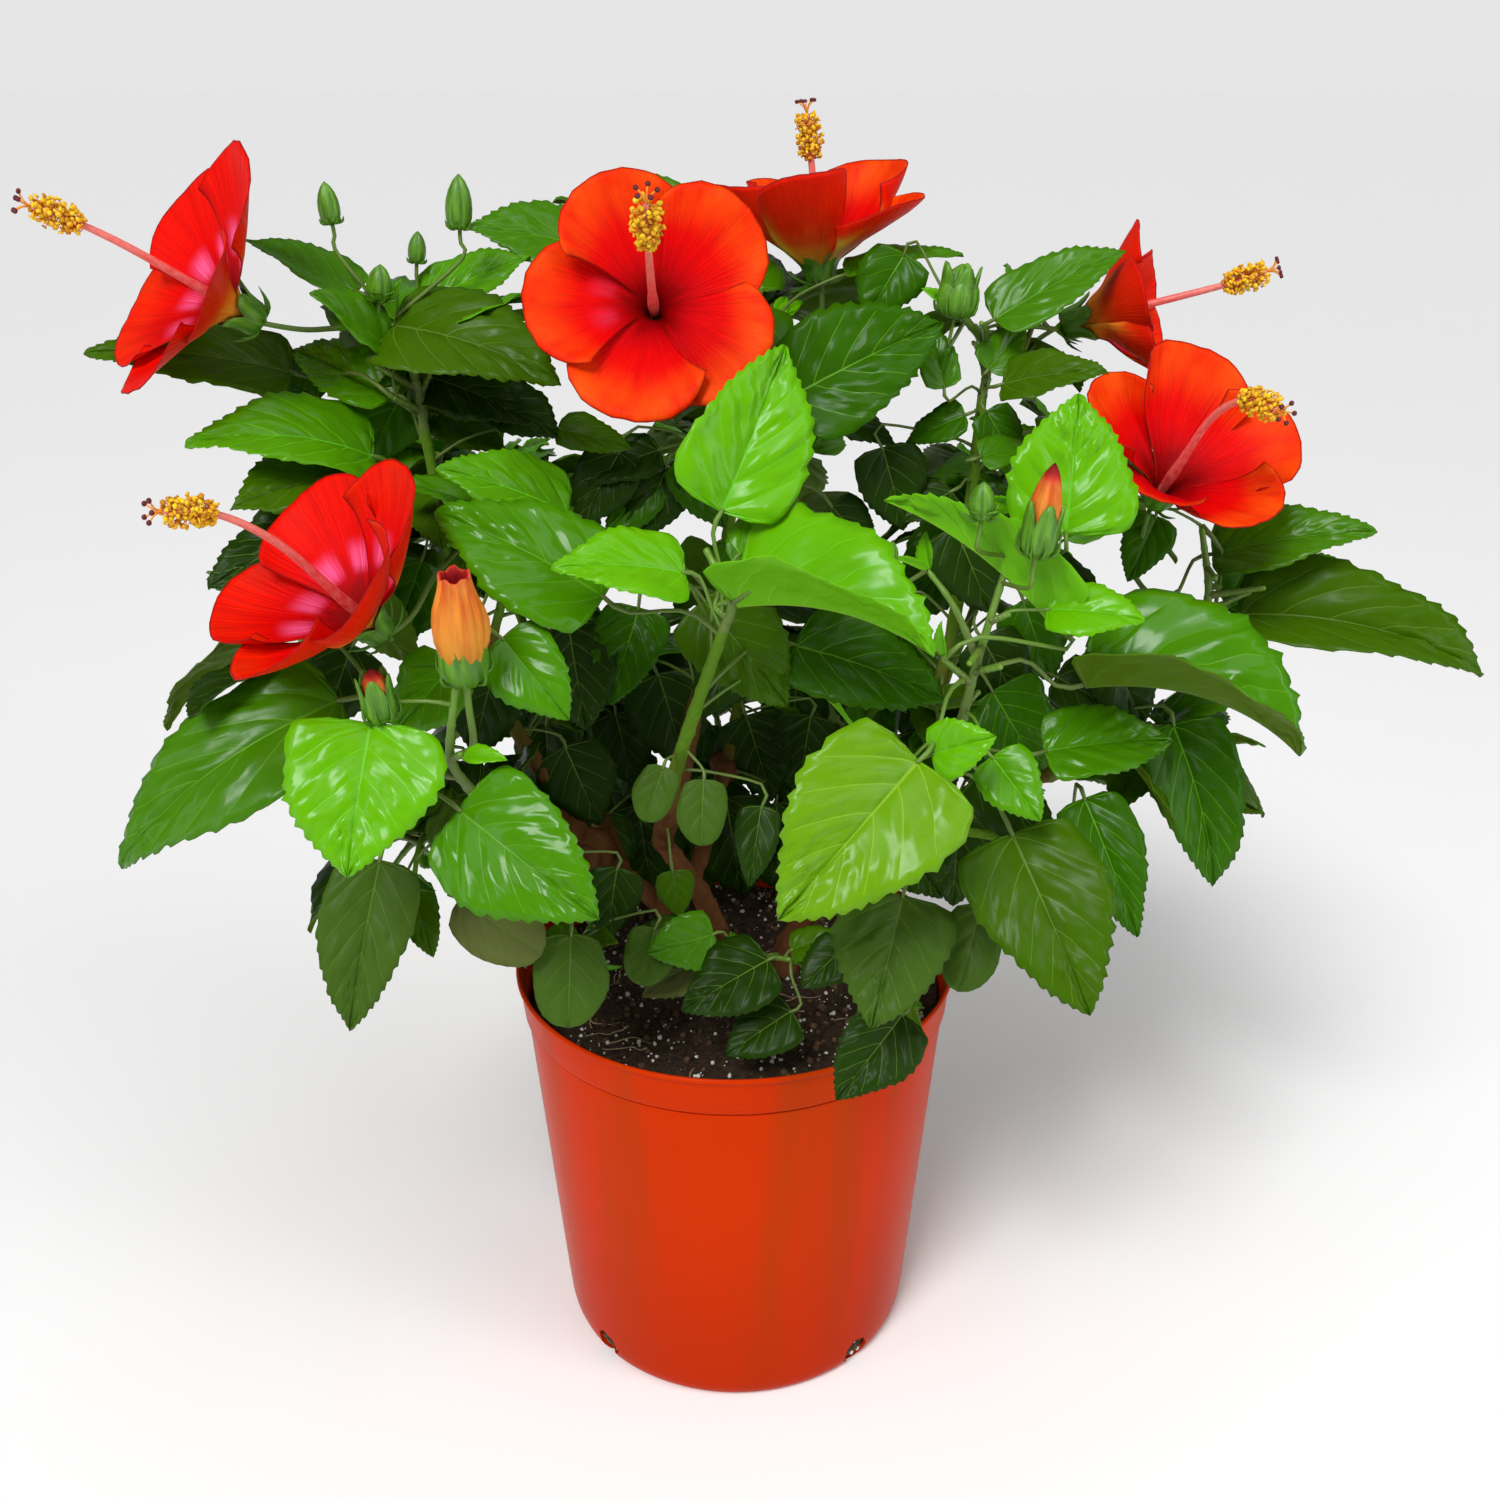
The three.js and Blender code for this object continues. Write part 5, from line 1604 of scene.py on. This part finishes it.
def build_leaves(settings):
    rng = np.random.default_rng(settings.seed + 1)
    for name, masses in FOLIAGE.items():
        gathered = Gathered()
        for leaf in growth().leaves:
            if leaf.mass in masses:
                leaf.ahead = add_leaf(gathered, leaf, rng)
        piece = gathered.piece(name, leaf_finishes(), "leaf",
                               replaced=["leaves_" + mass for mass in masses])
        triangles = sum(len(polygon.vertices) - 2 for polygon in piece.data.polygons)
        if triangles > MOST_TRIANGLES:
            raise RuntimeError(f"{name} has {triangles} triangles, over {MOST_TRIANGLES}")


def shoot_spots(place):
    """Points of the shoot that comes nearest to a place."""
    paths = [shoot.path for shoot in growth().shoots]
    gaps = [norm(path - place, axis=1).min() for path in paths]
    return paths[int(np.argmin(gaps))]


def build_blooms(settings):
    rng = np.random.default_rng(settings.seed)
    petals, greens = Gathered(), Gathered()
    for mouth, radius, funnel, column, bow, facing, turn, tone, foot, shares in BLOOMS.values():
        place = BloomFrame(mouth, facing)
        for index, (share, lift) in enumerate(shares):
            add_petal(petals, place, radius * share, funnel, (turn + 72 * index) * DEG, lift,
                      np.clip(tone + rng.uniform(-0.15, 0.15), 0, 1), rng)
        add_column(petals, place, column, bow, rng)
        back = place.spot(0, 0, -BLOOM_CUP - BLOOM_TUBE)
        add_calyx(greens, back, place.axis, 17, 8.0, 0, rng, spread=0.3 + 1.25 * funnel)
        foot = np.array(foot, float)
        bend = foot + (back - foot) * 0.6 - place.axis * 4
        add_stalk(greens, shoot_spots(foot), (foot, bend, back, back + place.axis * 3), 1.3, 1)
    petals.piece("open_blooms", bloom_finishes(), "petal", replaced=BLOOMS)
    greens.piece("bloom_calyxes", green_finishes(), "leaf")


def ribbed(count, depth, twist=0.0):
    def shape(radius, height, turn):
        return radius * (1 + depth * np.cos(count * turn + twist * height)), height
    return shape


BUD_OUTLINE = ((0.14, 0.0), (0.36, 0.05), (0.48, 0.2), (0.5, 0.38), (0.47, 0.55), (0.38, 0.72),
               (0.24, 0.87), (0.10, 0.96), (0.02, 1.0))
SPENT_OUTLINE = ((0.26, 0.0), (0.36, 0.1), (0.46, 0.26), (0.5, 0.40), (0.48, 0.54), (0.42, 0.68),
                 (0.345, 0.80), (0.30, 0.89), (0.28, 0.96), (0.265, 1.0), (0.22, 0.99), (0.18, 0.90),
                 (0.12, 0.78), (0.04, 0.70))


def build_buds(settings):
    rng = np.random.default_rng(settings.seed + 5)
    greens, petals = Gathered(), Gathered()
    for foot, length, width, lean, kind in BUDS:
        foot, axis = np.array(foot, float), unit(np.array((*lean, 1.0)))
        outline = [(out * width, height * length) for out, height in BUD_OUTLINE]
        if kind in ("shut", "young", "leafy"):
            add_lathe(greens, foot, axis, outline, sides=25, shape=ribbed(5, 0.07, 0.05))
        else:
            cover = 0.60 if kind == "opening" else 0.88
            add_calyx(greens, foot, axis, length * cover, width * 0.5, 0, rng, spread=0.0)
            add_lathe(petals, foot + axis * length * 0.12, axis,
                      [(out * width * 0.84, height * length * 0.90) for out, height in BUD_OUTLINE],
                      sides=25, shape=ribbed(5, 0.10, 0.10))
        reach = {"shut": 0.25, "young": 0.9, "leafy": 0.12, "showing": 0.2, "opening": 0.1}[kind]
        cup = 0.95 if kind == "leafy" else 0.34
        add_calyx(greens, foot, axis, length * cup, width * 0.42, 0, rng, spread=reach)
        near = shoot_spots(foot)
        add_stalk(greens, near, (foot - axis * 14, foot - axis * 5, foot + axis), 0.95, 1)
    foot, length, width = SPENT_BLOOM
    foot, axis = np.array(foot, float), unit(np.array((0.02, -0.24, 1.0)))
    outline = [(out * width, height * length) for out, height in SPENT_OUTLINE]

    def wrinkled(radius, height, turn):
        folds = 1 + 0.06 * np.sin(5 * turn + height * 0.13) + 0.035 * np.sin(13 * turn - height * 0.11)
        return radius * folds, height + 0.9 * np.sin(5 * turn + 1) * (height / length) ** 3

    add_lathe(petals, foot, axis, outline, sides=72, shape=wrinkled)
    add_calyx(greens, foot - axis * 7, axis, 26, 10.5, 0, rng, spread=0.02)
    add_stalk(greens, shoot_spots(foot - axis * 40),
              (foot - axis * 42, foot - axis * 20, foot - axis * 6), 1.6, 1)
    petals.piece("bud_petals", [spent_finish()], "petal")
    greens.piece("bud_calyxes", green_finishes(), "leaf")


# ---------- stage ----------

BACKDROP_SEEN = 0.79  # strength of the backdrop where the camera sees it
FLOOR_REACH = 40  # metres


def add_lamp(name, kind, place, power, aim=(0, 0, 0), **more):
    light = bpy.data.lights.new(name, kind)
    light.energy = power
    for key, value in more.items():
        setattr(light, key, value)
    lamp = add_object(name, light)
    lamp.location = place
    lamp.rotation_euler = (Vector(place) - Vector(aim)).to_track_quat("Z", "Y").to_euler()


def build_stage(settings):
    scene = bpy.context.scene
    mesh = bpy.data.meshes.new("floor")
    corners = [(x * FLOOR_REACH, y * FLOOR_REACH, 0) for x, y in ((-1, -1), (1, -1), (1, 1), (-1, 1))]
    mesh.from_pydata(corners, [], [(0, 1, 2, 3)])
    finish = Finish("studio_floor", tuple(settings.floor_colour), roughness=0.9, specular=0.1)
    finish.uneven(Scale=3.0, Low=0.85, High=0.95)
    mesh.materials.append(finish.material)
    add_object("floor", mesh)

    world = bpy.data.worlds.new("studio")
    world.use_nodes = True
    tree = world.node_tree
    backdrop = tree.nodes["Background"]
    backdrop.inputs["Color"].default_value = (1, 1, 1, 1)
    rays = tree.nodes.new("ShaderNodeLightPath")
    strength = tree.nodes.new("ShaderNodeMapRange")
    strength.inputs["To Min"].default_value = settings.surround
    strength.inputs["To Max"].default_value = BACKDROP_SEEN
    tree.links.new(rays.outputs["Is Camera Ray"], strength.inputs["Value"])
    tree.links.new(strength.outputs["Result"], backdrop.inputs["Strength"])
    scene.world = world

    add_lamp("key", "SUN", (-0.45, -0.95, 1.15), settings.key, angle=22 * DEG)
    add_lamp("fill", "SUN", (0.9, -0.6, 0.7), settings.key * 0.25, angle=40 * DEG)
    for name, place, width, height, share in (
            ("left_window", (-1.5, -0.9, 0.75), 0.5, 1.5, 1.0),
            ("right_window", (1.35, -0.75, 0.7), 0.35, 1.3, 0.9),
            ("top_window", (0.1, -0.6, 2.0), 1.2, 0.9, 1.2)):
        add_lamp(name, "AREA", place, settings.windows * share, aim=(0, 0, 0.3),
                 shape="RECTANGLE", size=width, size_y=height)

    camera = bpy.data.cameras.new("camera")
    camera.sensor_width = 36
    camera.lens = CAMERA_LENS
    camera.clip_start, camera.clip_end = 0.05, 100
    viewer = add_object("camera", camera)
    viewer.location = Vector(EYE) * MM
    viewer.rotation_euler = ((90 - CAMERA_TILT) * DEG, 0, 0)
    scene.camera = viewer
    scene.view_settings.view_transform = "Standard"


# ---------- settings, operators and panel ----------


class HIBISCUS_PG_pot(bpy.types.PropertyGroup):
    colour: FloatVectorProperty(name="Plastic", description="Colour of the pot's plastic", subtype="COLOR",
                                size=3, min=0, max=1, default=(0.54, 0.029, 0.0))
    wobble: FloatProperty(name="Out of round", description="How far the thin wall is pushed out of round",
                          default=0.0006, unit="LENGTH")
    holes: IntProperty(name="Drain holes", description="Number of holes round the foot", default=4, min=1)
    hole_radius: FloatProperty(name="Hole radius", description="Radius of a drain hole", default=0.0085,
                               unit="LENGTH")
    hole_height: FloatProperty(name="Hole height", description="Height of a drain hole's middle",
                               default=0.0095, unit="LENGTH")
    first_hole: FloatProperty(name="First hole", default=-47.0,
                              description="Turn of the first hole from the right, in degrees")


class HIBISCUS_PG_soil(bpy.types.PropertyGroup):
    seed: IntProperty(name="Seed", description="Changes how the crumbs are scattered", default=4)
    perlite: IntProperty(name="Perlite", description="Number of white grains", default=620, min=0)
    chips: IntProperty(name="Chips", description="Number of brown chips", default=520, min=0)
    rootlets: IntProperty(name="Rootlets", description="Number of pale rootlets", default=34, min=0)


class HIBISCUS_PG_wood(bpy.types.PropertyGroup):
    seed: IntProperty(name="Seed", description="Changes the bark's relief", default=7)
    colour: FloatVectorProperty(name="Bark", description="Darker colour of the bark", subtype="COLOR",
                                size=3, min=0, max=1, default=(0.085, 0.029, 0.009))
    roughness: FloatProperty(name="Relief", description="Depth of the bark's relief", default=1.0, min=0)


class HIBISCUS_PG_leaves(bpy.types.PropertyGroup):
    seed: IntProperty(name="Seed", description="Changes how shoots and leaves grow", default=3)
    length: FloatProperty(name="Blade length", description="Length of a full-grown blade", default=0.088,
                          unit="LENGTH")
    twigs: FloatProperty(name="Twigs", description="Side twigs in a mass of middling size", default=4.0,
                         min=0)


class HIBISCUS_PG_blooms(bpy.types.PropertyGroup):
    seed: IntProperty(name="Seed", description="Changes how the petals ruffle", default=12)


class HIBISCUS_PG_stage(bpy.types.PropertyGroup):
    floor_colour: FloatVectorProperty(name="Floor", description="Colour of the floor", subtype="COLOR",
                                      size=3, min=0, max=1, default=(0.95, 0.95, 0.95))
    surround: FloatProperty(name="Surround", description="Strength of the even white surround",
                            default=0.22)
    key: FloatProperty(name="Key light", description="Strength of the broad key light", default=2.25)
    windows: FloatProperty(name="Windows", description="Power of each soft window, in watts", default=5.0)


class HIBISCUS_OT_stage(bpy.types.Operator):
    """Lays the pale floor and sets the lights and the camera"""
    bl_idname = "hibiscus.stage"
    bl_label = "Stage"

    def execute(self, context):
        build_stage(context.scene.hibiscus_stage)
        return {"FINISHED"}


class HIBISCUS_OT_pot(bpy.types.Operator):
    """Builds the thin plastic pot"""
    bl_idname = "hibiscus.pot"
    bl_label = "Pot"

    def execute(self, context):
        build_pot(context.scene.hibiscus_pot)
        return {"FINISHED"}


class HIBISCUS_OT_soil(bpy.types.Operator):
    """Fills the pot with potting mix, perlite, chips and rootlets"""
    bl_idname = "hibiscus.soil"
    bl_label = "Potting mix"

    def execute(self, context):
        build_soil(context.scene.hibiscus_soil)
        return {"FINISHED"}


class HIBISCUS_OT_wood(bpy.types.Operator):
    """Builds the barked stems and boughs"""
    bl_idname = "hibiscus.wood"
    bl_label = "Stems and boughs"

    def execute(self, context):
        build_wood(context.scene.hibiscus_wood)
        return {"FINISHED"}


class HIBISCUS_OT_leaves(bpy.types.Operator):
    """Grows the leaves in sprays on the shoots"""
    bl_idname = "hibiscus.leaves"
    bl_label = "Leaves"

    def execute(self, context):
        build_leaves(context.scene.hibiscus_leaves)
        return {"FINISHED"}


class HIBISCUS_OT_shoots(bpy.types.Operator):
    """Grows the green shoots and the leaf stalks"""
    bl_idname = "hibiscus.shoots"
    bl_label = "Shoots and leaf stalks"

    def execute(self, context):
        build_shoots()
        return {"FINISHED"}


class HIBISCUS_OT_blooms(bpy.types.Operator):
    """Opens the six blooms on their stalks"""
    bl_idname = "hibiscus.blooms"
    bl_label = "Open blooms"

    def execute(self, context):
        build_blooms(context.scene.hibiscus_blooms)
        return {"FINISHED"}


class HIBISCUS_OT_buds(bpy.types.Operator):
    """Adds the buds and the spent bloom"""
    bl_idname = "hibiscus.buds"
    bl_label = "Buds and spent bloom"

    def execute(self, context):
        build_buds(context.scene.hibiscus_blooms)
        return {"FINISHED"}


SETTINGS = {
    "hibiscus_stage": HIBISCUS_PG_stage,
    "hibiscus_pot": HIBISCUS_PG_pot,
    "hibiscus_soil": HIBISCUS_PG_soil,
    "hibiscus_wood": HIBISCUS_PG_wood,
    "hibiscus_leaves": HIBISCUS_PG_leaves,
    "hibiscus_blooms": HIBISCUS_PG_blooms,
}
OPERATORS = (
    HIBISCUS_OT_stage, HIBISCUS_OT_pot, HIBISCUS_OT_soil, HIBISCUS_OT_wood, HIBISCUS_OT_leaves,
    HIBISCUS_OT_shoots, HIBISCUS_OT_blooms, HIBISCUS_OT_buds,
)


class HIBISCUS_PT_panel(bpy.types.Panel):
    """Lists the pieces of the shrub and their settings"""
    bl_label = "Potted hibiscus shrub"
    bl_idname = "HIBISCUS_PT_panel"
    bl_space_type = "VIEW_3D"
    bl_region_type = "UI"
    bl_category = "Hibiscus"

    def draw(self, context):
        for operator in OPERATORS:
            self.layout.operator(operator.bl_idname)
        for name, group in SETTINGS.items():
            box = self.layout.box()
            for key in group.__annotations__:
                box.prop(getattr(context.scene, name), key)


def register():
    for kind in (*SETTINGS.values(), *OPERATORS, HIBISCUS_PT_panel):
        bpy.utils.register_class(kind)
    for name, group in SETTINGS.items():
        setattr(bpy.types.Scene, name, PointerProperty(type=group))


def unregister():
    for name in SETTINGS:
        delattr(bpy.types.Scene, name)
    for kind in reversed((*SETTINGS.values(), *OPERATORS, HIBISCUS_PT_panel)):
        bpy.utils.unregister_class(kind)


def main():
    register()
    bpy.ops.hibiscus.stage()
    bpy.ops.hibiscus.pot()
    bpy.ops.hibiscus.soil()
    bpy.ops.hibiscus.wood()
    bpy.ops.hibiscus.leaves()
    bpy.ops.hibiscus.shoots()
    bpy.ops.hibiscus.blooms()
    bpy.ops.hibiscus.buds()


if __name__ == "__main__":
    main()
